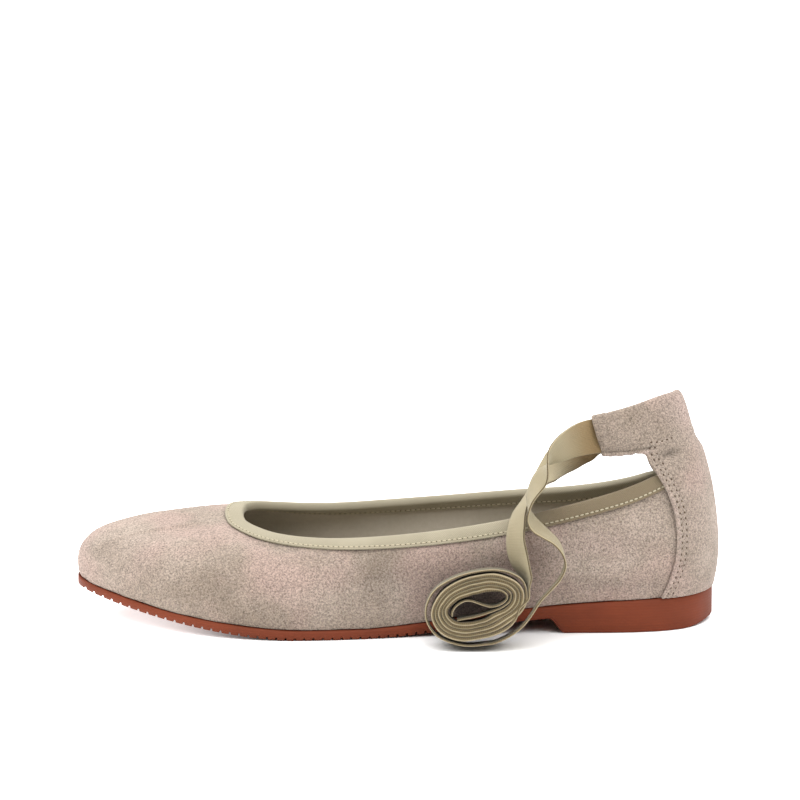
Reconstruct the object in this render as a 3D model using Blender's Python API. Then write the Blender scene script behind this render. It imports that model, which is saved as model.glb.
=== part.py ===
"""Women's ballet flat, left foot: soft suede upper on a low moulded rubber sole, a heel panel whose top
is an ankle casing with two arms, and one long elastic tape through it with both tails wound in a roll.

Metres, +Z up. The toe points to -X and the outer (lateral) side of the foot is -Y. The origin is on the
floor, under the middle of the shoe without its tape.
"""

import math

import bmesh
import bpy
import numpy as np

# Driving sizes, in metres
SOLE_LENGTH = 0.2493
BALL_WIDTH = 0.0760
INSTEP_HEIGHT = 0.0430
HEEL_BACK_X = 0.1231
FIT_GAP = 0.0003

UPPER_WALL = 0.0016
LASTING_MARGIN = 0.0070

SOLE_MARGIN = 0.0006
FOREFOOT_THICKNESS = 0.0037
TOE_SPRING = 0.0121
ARCH_HEIGHT = 0.0084
BREAST_X = 0.0580
BREAST_LENGTH = 0.0065
HEEL_BEVEL = 0.0022
HEEL_BEVEL_LENGTH = 0.0140
EDGE_ROUNDING = 0.0008
NOTCH_PITCH = 0.0036
NOTCH_WIDTH = 0.0007
NOTCH_DEPTH = 0.0011
NOTCH_REACH = 0.0060
NOTCH_END_X = 0.0150

INSOLE_THICKNESS = 0.0022

BINDING_WIDTH = 0.0066
BINDING_THICKNESS = 0.0007

PANEL_THICKNESS = 0.0013
CASING_THICKNESS = 0.0057
CASING_WALL = 0.0011

TAPE_WIDTH = 0.0138
TAPE_THICKNESS = 0.0008
ROLL_LENGTH = 0.0414
ROLL_HEIGHT = 0.0290
ROLL_TILT = 22.5
ROLL_LEAN = 10.0

# Meridians of the upper, once round from the heel's back by the outer side to the toe and home by the
# inner side. back and rim_back: shares of the sole's length, from the heel's back. side and rim_side:
# shares of the ball's width. rim_height: share of the instep's height, above the floor. flare and lean:
# degrees from upright, at the sole and at the topline. foot_pull and rim_pull: how far the wall keeps
# those two directions, as shares of the instep's height.
MERIDIAN_COLUMNS = (
    "back", "side", "flare", "foot_pull", "rim_back", "rim_side", "rim_height", "lean", "rim_pull",
)
MERIDIANS = (
    (0.000, 0.040, 15, 0.47, 0.025, 0.040, 1.545, 15, 0.42),
    (0.022, -0.145, 15, 0.47, 0.040, -0.115, 1.525, 17, 0.42),
    (0.065, -0.260, 14, 0.44, 0.075, -0.220, 1.455, 19, 0.38),
    (0.130, -0.310, 14, 0.42, 0.135, -0.280, 1.315, 26, 0.33),
    (0.210, -0.320, 15, 0.37, 0.215, -0.315, 1.185, 38, 0.28),
    (0.300, -0.330, 15, 0.35, 0.305, -0.330, 1.060, 50, 0.26),
    (0.400, -0.365, 14, 0.35, 0.400, -0.335, 0.960, 58, 0.26),
    (0.500, -0.425, 13, 0.35, 0.495, -0.330, 0.890, 63, 0.28),
    (0.600, -0.475, 13, 0.37, 0.580, -0.305, 0.850, 66, 0.33),
    (0.680, -0.485, 13, 0.40, 0.640, -0.265, 0.845, 70, 0.40),
    (0.770, -0.430, 13, 0.42, 0.685, -0.205, 0.858, 74, 0.52),
    (0.860, -0.305, 13, 0.42, 0.718, -0.125, 0.883, 78, 0.70),
    (0.935, -0.150, 13, 0.44, 0.738, -0.053, 0.910, 82, 0.90),
    (0.985, 0.005, 12, 0.46, 0.745, 0.010, 0.937, 85, 1.08),
    (1.000, 0.145, 11, 0.49, 0.747, 0.065, 0.960, 87, 1.16),
    (0.985, 0.255, 11, 0.46, 0.745, 0.120, 0.978, 88, 1.08),
    (0.935, 0.360, 11, 0.44, 0.738, 0.178, 0.985, 86, 0.90),
    (0.860, 0.450, 10, 0.42, 0.718, 0.238, 0.975, 81, 0.70),
    (0.770, 0.500, 9, 0.42, 0.685, 0.290, 0.950, 76, 0.52),
    (0.700, 0.500, 9, 0.42, 0.640, 0.322, 0.928, 71, 0.40),
    (0.610, 0.455, 10, 0.40, 0.580, 0.342, 0.918, 66, 0.33),
    (0.510, 0.380, 12, 0.37, 0.495, 0.350, 0.925, 61, 0.28),
    (0.410, 0.335, 13, 0.35, 0.400, 0.350, 0.950, 55, 0.28),
    (0.300, 0.340, 14, 0.35, 0.305, 0.350, 0.998, 47, 0.28),
    (0.210, 0.375, 14, 0.37, 0.215, 0.345, 1.070, 38, 0.30),
    (0.130, 0.380, 13, 0.40, 0.135, 0.320, 1.165, 28, 0.33),
    (0.065, 0.335, 13, 0.44, 0.075, 0.270, 1.300, 20, 0.38),
    (0.022, 0.215, 14, 0.47, 0.040, 0.170, 1.480, 17, 0.42),
)
COLUMNS_PER_MERIDIAN = 3
WALL_STEPS = 8

# Side profile of the sole, without the heel. back: share of the sole's length from the heel's back.
# toe: share of the toe spring. arch: share of the arch's height. body: share of the forefoot's thickness.
SOLE_COLUMNS = ("back", "toe", "arch", "body")
SOLE_PROFILE = (
    (0.000, 0.00, 1.00, 1.30),
    (0.120, 0.00, 0.95, 1.30),
    (0.240, 0.00, 0.74, 1.30),
    (0.320, 0.00, 0.52, 1.28),
    (0.400, 0.00, 0.28, 1.22),
    (0.480, 0.00, 0.08, 1.12),
    (0.540, 0.00, 0.00, 1.04),
    (0.660, 0.00, 0.00, 1.06),
    (0.720, 0.07, 0.00, 1.07),
    (0.780, 0.20, 0.00, 1.03),
    (0.850, 0.40, 0.00, 0.95),
    (0.920, 0.66, 0.00, 0.93),
    (0.970, 0.87, 0.00, 0.92),
    (1.000, 1.00, 0.00, 0.92),
)
SOLE_STATIONS = 42

# Half width of the heel panel, in meridians each way from the heel's back, at shares of the wall's way up
PANEL_COLUMNS = ("up", "reach")
PANEL_EDGE = (
    (0.00, 2.35),
    (0.18, 2.10),
    (0.40, 1.98),
    (0.65, 2.02),
    (0.85, 2.18),
    (1.00, 2.35),
)
PANEL_ROWS = 8
PANEL_RISE_ROWS = 3

# Route of the ankle casing, from the mouth of the outer arm round the back to that of the inner arm.
# back: share of the sole's length from the heel's back. side: share of the ball's width. seam: height of
# its lower seam as a share of the instep's height. tall: its height, the same way. lean and pitch: degrees
# that it tips inward and forward.
CASING_COLUMNS = ("back", "side", "seam", "tall", "lean", "pitch")
CASING = (
    (0.178, -0.255, 1.590, 0.395, 4, 18),
    (0.150, -0.262, 1.600, 0.415, 6, 15),
    (0.110, -0.250, 1.630, 0.445, 9, 10),
    (0.068, -0.190, 1.680, 0.455, 12, 4),
    (0.040, -0.085, 1.725, 0.405, 16, 0),
    (0.033, 0.020, 1.735, 0.392, 17, 0),
    (0.042, 0.125, 1.695, 0.390, 18, 0),
    (0.068, 0.190, 1.610, 0.390, 20, 4),
    (0.105, 0.205, 1.545, 0.395, 23, 10),
    (0.145, 0.185, 1.512, 0.397, 27, 13),
    (0.178, 0.155, 1.495, 0.399, 30, 14),
)
CASING_STEPS = 2
# Half of the casing's cross-section, from the seam to the fold: height and half thickness, as shares
CASING_SECTION = ((0.0, 0.52), (0.16, 0.78), (0.45, 1.0), (0.75, 0.96), (0.93, 0.72), (1.0, 0.45))
CASING_PANEL = (2, 8)

# Routes of the two free tails of the tape, from the casing's mouths to the roll. back, side and height
# as above. across_x, across_y and across_z: the way the tape's width points.
TAIL_COLUMNS = ("back", "side", "height", "across_x", "across_y", "across_z")
OUTER_TAIL = (
    (0.204, -0.230, 1.753, -0.27, 0.30, 0.90),
    (0.224, -0.243, 1.717, -0.22, 0.62, 0.70),
    (0.241, -0.263, 1.656, -0.28, 0.82, 0.48),
    (0.253, -0.283, 1.580, -0.20, 0.92, 0.28),
    (0.264, -0.296, 1.494, 0.10, 1.00, 0.00),
    (0.275, -0.316, 1.396, 0.36, 0.88, -0.26),
    (0.284, -0.350, 1.310, 0.32, 0.90, -0.26),
    (0.292, -0.397, 1.234, 0.22, 0.95, -0.12),
    (0.292, -0.478, 1.162, 0.25, 0.96, 0.02),
    (0.282, -0.513, 1.051, 0.26, 0.96, -0.03),
    (0.267, -0.553, 0.987, 0.27, 0.96, -0.05),
    (0.252, -0.579, 0.929, 0.12, 0.99, -0.03),
    (0.241, -0.599, 0.841, 0.00, 1.00, -0.05),
    (0.238, -0.618, 0.745, 0.00, 1.00, -0.08),
    (0.244, -0.638, 0.657, 0.00, 0.99, -0.12),
    (0.261, -0.658, 0.547, 0.00, 0.99, -0.15),
    (0.277, -0.671, 0.443, 0.00, 0.98, -0.17),
    (0.288, -0.678, 0.328, 0.00, 0.98, -0.17),
    (0.301, -0.684, 0.234, 0.00, 0.98, -0.17),
)
INNER_TAIL = (
    (0.201, 0.118, 1.567, -0.25, -0.05, 0.97),
    (0.222, 0.059, 1.520, -0.22, -0.15, 0.96),
    (0.243, -0.046, 1.472, -0.25, -0.30, 0.92),
    (0.263, -0.158, 1.408, -0.32, -0.50, 0.80),
    (0.280, -0.257, 1.341, -0.38, -0.72, 0.58),
    (0.294, -0.355, 1.260, -0.40, -0.86, 0.30),
    (0.307, -0.447, 1.173, -0.40, -0.90, 0.18),
    (0.313, -0.513, 1.076, -0.42, -0.88, 0.22),
    (0.314, -0.566, 0.960, -0.46, -0.85, 0.25),
    (0.312, -0.599, 0.855, -0.48, -0.84, 0.24),
    (0.305, -0.625, 0.747, -0.38, -0.88, 0.26),
    (0.299, -0.645, 0.635, -0.20, -0.97, 0.15),
)
TAIL_STEPS = 2
ROLL_BACK = 0.375
ROLL_SIDE = -0.640
ROLL_CORE = 0.55
ROLL_SIDES = 32


def clear_scene():
    """Removes every object that the scene starts with."""
    for thing in list(bpy.data.objects):
        bpy.data.objects.remove(thing)


def column(table, names, name):
    """One named column of a table."""
    return np.array([row[names.index(name)] for row in table], float)


def spline(before, start, end, beyond, t):
    """A smooth curve from start to end, for t from 0 to 1, with the points on either side of them."""
    return 0.5 * (2 * start + (end - before) * t
                  + (2 * before - 5 * start + 4 * end - beyond) * t**2
                  + (3 * start - before - 3 * end + beyond) * t**3)


def on_loop(values, at):
    """Values at any places at on a smooth closed curve through the rows of values."""
    values, at = np.asarray(values, float), np.asarray(at, float)
    k = np.floor(at).astype(int)
    n = len(values)
    return spline(values[(k - 1) % n], values[k % n], values[(k + 1) % n], values[(k + 2) % n], at - k)


def on_line(values, steps):
    """An open row of values again, with steps points for each, on a smooth curve through them."""
    values = np.asarray(values, float)
    longer = np.concatenate([[2 * values[0] - values[1]], values, [2 * values[-1] - values[-2]]])
    found = []
    for k in range(len(values) - 1):
        for step in range(steps):
            found.append(spline(longer[k], longer[k + 1], longer[k + 2], longer[k + 3], step / steps))
    found.append(values[-1])
    return np.array(found)


def smooth_step(share):
    """A share from 0 to 1, eased at both ends."""
    share = np.clip(share, 0, 1)
    return share * share * (3 - 2 * share)


def interpolated(at, known, values):
    """Values at the places at, on a smooth curve through values at the rising places known."""
    slope = np.gradient(values, known)
    k = np.clip(np.searchsorted(known, at, side="right") - 1, 0, len(known) - 2)
    span = known[k + 1] - known[k]
    t = (at - known[k]) / span
    return ((2 * t**3 - 3 * t**2 + 1) * values[k] + (t**3 - 2 * t**2 + t) * span * slope[k]
            + (3 * t**2 - 2 * t**3) * values[k + 1] + (t**3 - t**2) * span * slope[k + 1])


def unit(vectors):
    """The vectors with a length of one each."""
    return vectors / np.maximum(np.linalg.norm(vectors, axis=-1, keepdims=True), 1e-12)


def sole_profile(x, name):
    """One column of the sole's profile at places x along the shoe."""
    back = np.clip((HEEL_BACK_X - x) / SOLE_LENGTH, 0, 1)
    return interpolated(back, column(SOLE_PROFILE, SOLE_COLUMNS, "back"), column(SOLE_PROFILE, SOLE_COLUMNS, name))


def sole_waist(x):
    """Height of the sole's underside over the floor, without its heel."""
    return np.maximum(sole_profile(x, "toe"), 0) * TOE_SPRING + np.maximum(sole_profile(x, "arch"), 0) * ARCH_HEIGHT


def sole_top(x):
    """Height of the sole's upper face, on which the upper is lasted."""
    return sole_waist(x) + sole_profile(x, "body") * FOREFOOT_THICKNESS


def foot_loop(around):
    """Where the upper's outer face meets the sole, at places around the shoe."""
    back = on_loop(column(MERIDIANS, MERIDIAN_COLUMNS, "back"), around)
    side = on_loop(column(MERIDIANS, MERIDIAN_COLUMNS, "side"), around)
    x = HEEL_BACK_X - SOLE_MARGIN - back * (SOLE_LENGTH - 2 * SOLE_MARGIN)
    return np.stack([x, side * BALL_WIDTH, sole_top(x) + FIT_GAP], -1)


def rim_loop(around):
    """The topline of the upper, at places around the shoe."""
    back = on_loop(column(MERIDIANS, MERIDIAN_COLUMNS, "rim_back"), around)
    side = on_loop(column(MERIDIANS, MERIDIAN_COLUMNS, "rim_side"), around)
    height = on_loop(column(MERIDIANS, MERIDIAN_COLUMNS, "rim_height"), around)
    return np.stack([HEEL_BACK_X - back * SOLE_LENGTH, side * BALL_WIDTH, height * INSTEP_HEIGHT], -1)


def outward(loop, around):
    """Level directions out of a loop, at places around the shoe."""
    along = loop(around + 0.05) - loop(around - 0.05)
    return unit(np.stack([-along[..., 1], along[..., 0], np.zeros(np.shape(around))], -1))


def wall(around, share):
    """Outer face of the upper at places around the shoe, a share of the way from the sole to the topline."""
    around, share = np.broadcast_arrays(np.asarray(around, float), np.asarray(share, float))
    up = np.array([0.0, 0.0, 1.0])
    named = {name: on_loop(column(MERIDIANS, MERIDIAN_COLUMNS, name), around)[..., None]
             for name in ("flare", "foot_pull", "lean", "rim_pull")}
    flare, lean = np.radians(named["flare"]), np.radians(named["lean"])
    foot, rim = foot_loop(around), rim_loop(around)
    low = foot + (outward(foot_loop, around) * np.sin(flare) + up * np.cos(flare)) * named["foot_pull"] * INSTEP_HEIGHT
    high = rim + (outward(rim_loop, around) * np.sin(lean) - up * np.cos(lean)) * named["rim_pull"] * INSTEP_HEIGHT
    t = share[..., None]
    return foot * (1 - t)**3 + low * 3 * t * (1 - t)**2 + high * 3 * t**2 * (1 - t) + rim * t**3


def wall_normal(around, share):
    """Directions out of the upper's face."""
    around, share = np.broadcast_arrays(np.asarray(around, float), np.asarray(share, float))
    up = wall(around, np.minimum(share + 0.02, 1)) - wall(around, np.maximum(share - 0.02, 0))
    along = wall(around + 0.04, share) - wall(around - 0.04, share)
    return unit(np.cross(up, along))


def mesh_from(name, points, faces):
    """A mesh of triangles from points and faces, with its normals turned outward."""
    mesh = bpy.data.meshes.new(name)
    mesh.from_pydata([tuple(p) for p in np.asarray(points, float)], [], faces)
    work = bmesh.new()
    work.from_mesh(mesh)
    bmesh.ops.remove_doubles(work, verts=work.verts, dist=1e-6)
    bmesh.ops.triangulate(work, faces=[face for face in work.faces if len(face.verts) > 3])
    bmesh.ops.recalc_face_normals(work, faces=work.faces)
    work.to_mesh(mesh)
    work.free()
    return mesh


def add_object(name, mesh, colour, roughness):
    """Links a mesh as a named object with a material of its own."""
    material = bpy.data.materials.new(name)
    material.use_nodes = True
    shader = material.node_tree.nodes["Principled BSDF"]
    shader.inputs["Base Color"].default_value = (*colour, 1.0)
    shader.inputs["Roughness"].default_value = roughness
    shader.inputs["Metallic"].default_value = 0.0
    mesh.materials.append(material)
    thing = bpy.data.objects.new(name, mesh)
    bpy.context.scene.collection.objects.link(thing)
    mesh.shade_smooth()
    mesh.set_sharp_from_angle(angle=math.radians(40))


def grid_faces(rows, columns, close_rows, close_columns):
    """Quads of a grid of points, joined last to first where it closes."""
    faces = []
    for j in range(rows if close_rows else rows - 1):
        for i in range(columns if close_columns else columns - 1):
            across, up = (i + 1) % columns, (j + 1) % rows
            faces.append((j * columns + i, j * columns + across, up * columns + across, up * columns + i))
    return faces


def swept(name, sections):
    """A closed solid through sections of as many points each, whose ends are filled.

    A section is a ring whose first half runs along one face and whose second half runs back.
    """
    sections = np.asarray(sections, float)
    count, size = sections.shape[:2]
    faces = grid_faces(count, size, False, True)
    for first in (0, (count - 1) * size):
        for k in range(size // 2 - 1):
            faces.append((first + k, first + k + 1, first + size - 2 - k, first + size - 1 - k))
    return mesh_from(name, sections.reshape(-1, 3), faces)


def make_upper():
    """Vamp and quarters in one: a wall open at the topline, turned in under the foot where it is lasted."""
    around = np.arange(0, len(MERIDIANS), 1 / COLUMNS_PER_MERIDIAN)
    share = np.linspace(0, 1, WALL_STEPS + 1)[:, None]
    outer = wall(around[None], share)
    inner = outer - wall_normal(around[None], share) * UPPER_WALL
    inward = -outward(foot_loop, around)
    inner[0] = outer[0] + inward * UPPER_WALL * 1.15
    inner[0][:, 2] = outer[0][:, 2] + UPPER_WALL
    under = outer[0] + inward * LASTING_MARGIN
    under[:, 2] = sole_top(under[:, 0]) + FIT_GAP
    over = under + np.array([0, 0, UPPER_WALL])
    rings = np.concatenate([under[None], outer, inner[::-1], over[None]])
    rows, columns = rings.shape[:2]
    mesh = mesh_from("upper", rings.reshape(-1, 3), grid_faces(rows, columns, True, True))
    add_object("upper", mesh, (0.42, 0.33, 0.27), 0.95)


def sides_at(x, growth):
    """Left and right edges of the sole's outline at places x, grown outward."""
    around = np.arange(0, len(MERIDIANS), 0.125)
    loop = foot_loop(around) + outward(foot_loop, around) * growth
    back, toe = int(np.argmax(loop[:, 0])), int(np.argmin(loop[:, 0]))
    loop, toe = np.roll(loop, -back, 0), (toe - back) % len(loop)
    outer, inner = loop[:toe + 1][::-1], np.concatenate([loop[toe:], loop[:1]])
    return np.interp(x, outer[:, 0], outer[:, 1]), np.interp(x, inner[:, 0], inner[:, 1])


def stations(growth, count):
    """Places along an outline grown outward, close together at both ends."""
    around = np.arange(0, len(MERIDIANS), 0.125)
    loop = foot_loop(around) + outward(foot_loop, around) * growth
    middle, half = (loop[:, 0].max() + loop[:, 0].min()) / 2, (loop[:, 0].max() - loop[:, 0].min()) / 2
    turn = np.linspace(0.04, 1 - 0.04, count) * math.pi
    return middle + half * np.cos(turn)


def sole_underside(x):
    """Height of the tread over the floor, with the heel."""
    breast = smooth_step((x - BREAST_X) / BREAST_LENGTH)
    bevel = np.clip((x - HEEL_BACK_X + HEEL_BEVEL_LENGTH) / HEEL_BEVEL_LENGTH, 0, 1)
    return sole_waist(x) * (1 - breast) + HEEL_BEVEL * bevel**2


def make_outsole():
    """Rubber unit in one: notched forefoot with toe spring, arched waist, and a low heel with its breast."""
    base = stations(SOLE_MARGIN, SOLE_STATIONS)
    breast = BREAST_X + BREAST_LENGTH * np.linspace(0, 1, 7)
    toe = HEEL_BACK_X - SOLE_LENGTH + NOTCH_PITCH
    notches = np.arange(toe, NOTCH_END_X, NOTCH_PITCH)
    cuts = (notches[:, None] + NOTCH_WIDTH * np.array([-0.9, 0.2, 0.7])).ravel()
    clear = np.array([min(abs(cuts - x)) > NOTCH_PITCH * 0.2 for x in base])
    clear &= (base < BREAST_X - 0.001) | (base > BREAST_X + BREAST_LENGTH + 0.001)
    x = np.sort(np.concatenate([base[clear], breast, cuts]))
    cut = np.array([np.any(abs(notches + NOTCH_WIDTH * 0.2 - here) < NOTCH_WIDTH * 0.1) for here in x])
    outer, inner = sides_at(x, SOLE_MARGIN)
    top, under = sole_top(x), sole_underside(x)
    raised = under + np.where(cut, NOTCH_DEPTH, 0.0)
    half = (inner - outer) / 2
    round_in = np.minimum(EDGE_ROUNDING, half * 0.3)
    reach = np.minimum(NOTCH_REACH, half * 0.7)
    ring = (
        (outer, top), (outer + half * 0.6, top), (inner - half * 0.6, top), (inner, top),
        (inner, raised + EDGE_ROUNDING), (inner - round_in, raised), (inner - reach, under),
        (outer + reach, under), (outer + round_in, raised), (outer, raised + EDGE_ROUNDING),
    )
    sections = np.stack([np.stack([x, y, z], -1) for y, z in ring], 1)
    add_object("outsole", swept("outsole", sections), (0.50, 0.16, 0.08), 0.55)


def make_insole():
    """Board and sock in one: it lies on the lasting margin, and its middle fills the space inside it."""
    edge, ledge = -(UPPER_WALL * 1.15 + 2 * FIT_GAP), -(LASTING_MARGIN + 3 * FIT_GAP)
    x = stations(edge, SOLE_STATIONS)
    outer, inner = sides_at(x, edge)
    ends = stations(ledge, SOLE_STATIONS)
    low_outer, low_inner = sides_at(np.clip(x, ends.min(), ends.max()), ledge)
    clear = (x < ends.max()) & (x > ends.min())
    clear &= np.roll(clear, 1) & np.roll(clear, -1)
    shelf = sole_top(x) + 2.5 * FIT_GAP + UPPER_WALL
    floor = np.where(clear, sole_top(x) + FIT_GAP, shelf)
    top = shelf + INSOLE_THICKNESS
    quarter = (inner - outer) / 4
    ring = (
        (outer, top), (outer + quarter, top), (inner - quarter, top), (inner, top),
        (inner, shelf), (low_inner, shelf), (low_inner - FIT_GAP, floor),
        (low_outer + FIT_GAP, floor), (low_outer, shelf), (outer, shelf),
    )
    sections = np.stack([np.stack([x, y, z], -1) for y, z in ring], 1)
    add_object("insole", swept("insole", sections), (0.24, 0.20, 0.15), 0.8)


def panel_reach(share):
    """Half width of the heel panel in meridians, at a share of the wall's way up."""
    known = column(PANEL_EDGE, PANEL_COLUMNS, "up")
    return interpolated(np.asarray(share, float), known, column(PANEL_EDGE, PANEL_COLUMNS, "reach"))


def make_binding():
    """Elastic strip folded over the topline, from one edge of the heel panel round the throat to the other."""
    start = panel_reach(1.0) + 0.04
    around = np.arange(0, len(MERIDIANS), 1 / COLUMNS_PER_MERIDIAN)
    around = around[(around > start + 0.1) & (around < len(MERIDIANS) - start - 0.1)]
    around = np.concatenate([[start], around, [len(MERIDIANS) - start]])
    length = np.linalg.norm(wall(around, 1.0) - wall(around, 0.9), axis=1) / 0.1
    near, far = FIT_GAP, FIT_GAP + BINDING_THICKNESS
    outside, inside = [], []
    for part in (1.0, 0.5, 0.0):
        share = 1 - part * BINDING_WIDTH / length
        normal = wall_normal(around, share)
        face = wall(around, share)
        outside.append((face + normal * far, face + normal * near))
        inside.append((face - normal * (UPPER_WALL + far), face - normal * (UPPER_WALL + near)))
    normal = wall_normal(around, 1.0)
    rise = unit(wall(around, 1.0) - wall(around, 0.97))
    top = wall(around, 1.0)
    crown = (
        (top + normal * (far - 0.0004) + rise * far, top + normal * near + rise * near),
        (top - normal * (UPPER_WALL + far - 0.0004) + rise * far, top - normal * (UPPER_WALL + near) + rise * near),
    )
    pairs = outside + list(crown) + inside[::-1]
    ring = [pair[0] for pair in pairs] + [pair[1] for pair in pairs[::-1]]
    add_object("topline_binding", swept("topline_binding", np.stack(ring, 1)), (0.45, 0.40, 0.25), 0.75)


def casing_frame():
    """Seam line of the casing, its upward and outward directions and its height, from mouth to mouth."""
    rows = {name: on_line(column(CASING, CASING_COLUMNS, name), CASING_STEPS) for name in CASING_COLUMNS}
    seam = np.stack([HEEL_BACK_X - rows["back"] * SOLE_LENGTH, rows["side"] * BALL_WIDTH,
                     rows["seam"] * INSTEP_HEIGHT], -1)
    along = np.gradient(seam, axis=0)
    out = unit(np.stack([along[:, 1], -along[:, 0], np.zeros(len(along))], -1))
    ahead = np.sin(np.radians(rows["pitch"]))[:, None] * np.array([-1.0, 0.0, 0.0])
    lean = np.radians(rows["lean"])[:, None]
    up = unit(np.array([0.0, 0.0, 1.0]) * np.cos(lean) - out * np.sin(lean) + ahead)
    face = out * np.cos(lean) + np.array([0.0, 0.0, 1.0]) * np.sin(lean)
    return seam, up, face, rows["tall"][:, None] * INSTEP_HEIGHT


def make_heel_panel():
    """Suede back strip from the sole over the heel, whose top forms the casing: a flat tube with two arms."""
    seam, up, face, tall = casing_frame()
    count = len(seam)
    half = CASING_THICKNESS / 2
    outer = [seam + up * tall * h + face * half * (d - 1) for h, d in CASING_SECTION]
    inner = [seam + up * tall * h - face * half * (d + 1) for h, d in CASING_SECTION]
    skin = np.stack(outer + inner[::-1], 1)
    hollow_tall = tall - 2 * CASING_WALL
    bottom = seam + up * CASING_WALL
    hollow_half = half - CASING_WALL
    outer = [bottom + up * hollow_tall * h + face * (hollow_half * d - half) for h, d in CASING_SECTION]
    inner = [bottom + up * hollow_tall * h - face * (hollow_half * d + half) for h, d in CASING_SECTION]
    tunnel = np.stack(outer + inner[::-1], 1)
    size = skin.shape[1]

    points = list(skin.reshape(-1, 3)) + list(tunnel.reshape(-1, 3))
    first, last = CASING_PANEL[0] * CASING_STEPS, CASING_PANEL[1] * CASING_STEPS
    faces = []
    for i in range(count - 1):
        for k in range(size):
            nxt = (k + 1) % size
            a, b, c, d = i * size + k, i * size + nxt, (i + 1) * size + nxt, (i + 1) * size + k
            if not (k == size - 1 and first <= i < last):
                faces.append((a, b, c, d))
            shift = count * size
            faces.append((a + shift, d + shift, c + shift, b + shift))
    for end in (0, (count - 1) * size):
        for k in range(size):
            nxt = (k + 1) % size
            faces.append((end + k, end + nxt, end + nxt + count * size, end + k + count * size))

    columns = np.arange(first, last + 1)
    spread = np.linspace(1, -1, len(columns))
    shares = np.linspace(0, 1, PANEL_ROWS)
    rows = []
    for share in shares:
        around = spread * panel_reach(share)
        normal = wall_normal(around, share)
        base = wall(around, share)
        rows.append((base + normal * (FIT_GAP + PANEL_THICKNESS), base + normal * FIT_GAP))
    high_out, high_in = skin[columns, 0], skin[columns, size - 1]
    start_out, start_in = rows[-1]
    tangent = unit(rows[-1][0] - rows[-2][0])
    gap = np.linalg.norm(high_out - start_out, axis=1, keepdims=True)
    for step in range(1, PANEL_RISE_ROWS + 1):
        t = step / (PANEL_RISE_ROWS + 1)
        one = (2 * t**3 - 3 * t**2 + 1) * start_out + (t**3 - 2 * t**2 + t) * gap * tangent
        two = (3 * t**2 - 2 * t**3) * high_out + (t**3 - t**2) * gap * up[columns]
        out = one + two
        depth = PANEL_THICKNESS + (CASING_THICKNESS / 2 - PANEL_THICKNESS) * smooth_step((t - 0.2) / 0.8)
        into = unit(start_in - start_out) * (1 - t) + unit(high_in - high_out) * t
        rows.append((out, out + unit(into) * depth))
    base = len(points)
    wide = len(columns)
    for out, into in rows:
        points.extend(out)
        points.extend(into)

    def at(row, side, i):
        if row == len(rows):
            return (first + i) * size + (0 if side == 0 else size - 1)
        return base + (row * 2 + side) * wide + i

    for row in range(len(rows)):
        for i in range(wide - 1):
            faces.append((at(row, 0, i), at(row, 0, i + 1), at(row + 1, 0, i + 1), at(row + 1, 0, i)))
            faces.append((at(row, 1, i), at(row + 1, 1, i), at(row + 1, 1, i + 1), at(row, 1, i + 1)))
        for i in (0, wide - 1):
            faces.append((at(row, 0, i), at(row + 1, 0, i), at(row + 1, 1, i), at(row, 1, i)))
    for i in range(wide - 1):
        faces.append((at(0, 0, i), at(0, 1, i), at(0, 1, i + 1), at(0, 0, i + 1)))
    add_object("heel_panel", mesh_from("heel_panel", points, faces), (0.40, 0.31, 0.25), 0.95)


def tail_rows(table):
    """Points of a tail's middle line and the way its width points at each."""
    rows = {name: column(table, TAIL_COLUMNS, name) for name in TAIL_COLUMNS}
    line = np.stack([HEEL_BACK_X - rows["back"] * SOLE_LENGTH, rows["side"] * BALL_WIDTH,
                     rows["height"] * INSTEP_HEIGHT], -1)
    return line, unit(np.stack([rows["across_x"], rows["across_y"], rows["across_z"]], -1))


def make_tape():
    """The elastic tape, from the roll through the casing and back to it."""
    seam, up, face, tall = casing_frame()
    middle = seam + up * (tall / 2) - face * CASING_THICKNESS / 2
    outer, outer_across = tail_rows(OUTER_TAIL)
    inner, inner_across = tail_rows(INNER_TAIL)
    line = np.concatenate([outer[::-1], middle[::CASING_STEPS], inner])
    along = unit(np.gradient(line, axis=0))
    across = np.concatenate([outer_across[::-1], up[::CASING_STEPS], inner_across])
    square = unit(across - along * np.sum(across * along, axis=1, keepdims=True))
    free = np.r_[:len(outer), len(line) - len(inner):len(line)]
    across[free] = square[free]
    line, across = on_line(line, TAIL_STEPS), on_line(across, TAIL_STEPS)
    thick = unit(np.cross(np.gradient(line, axis=0), across))
    w, h = across * TAPE_WIDTH / 2, thick * TAPE_THICKNESS / 2
    ring = (line - w + h, line + w + h, line + w - h, line - w - h)
    add_object("tape", swept("tape", np.stack(ring, 1)), (0.47, 0.42, 0.22), 0.7)


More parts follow.
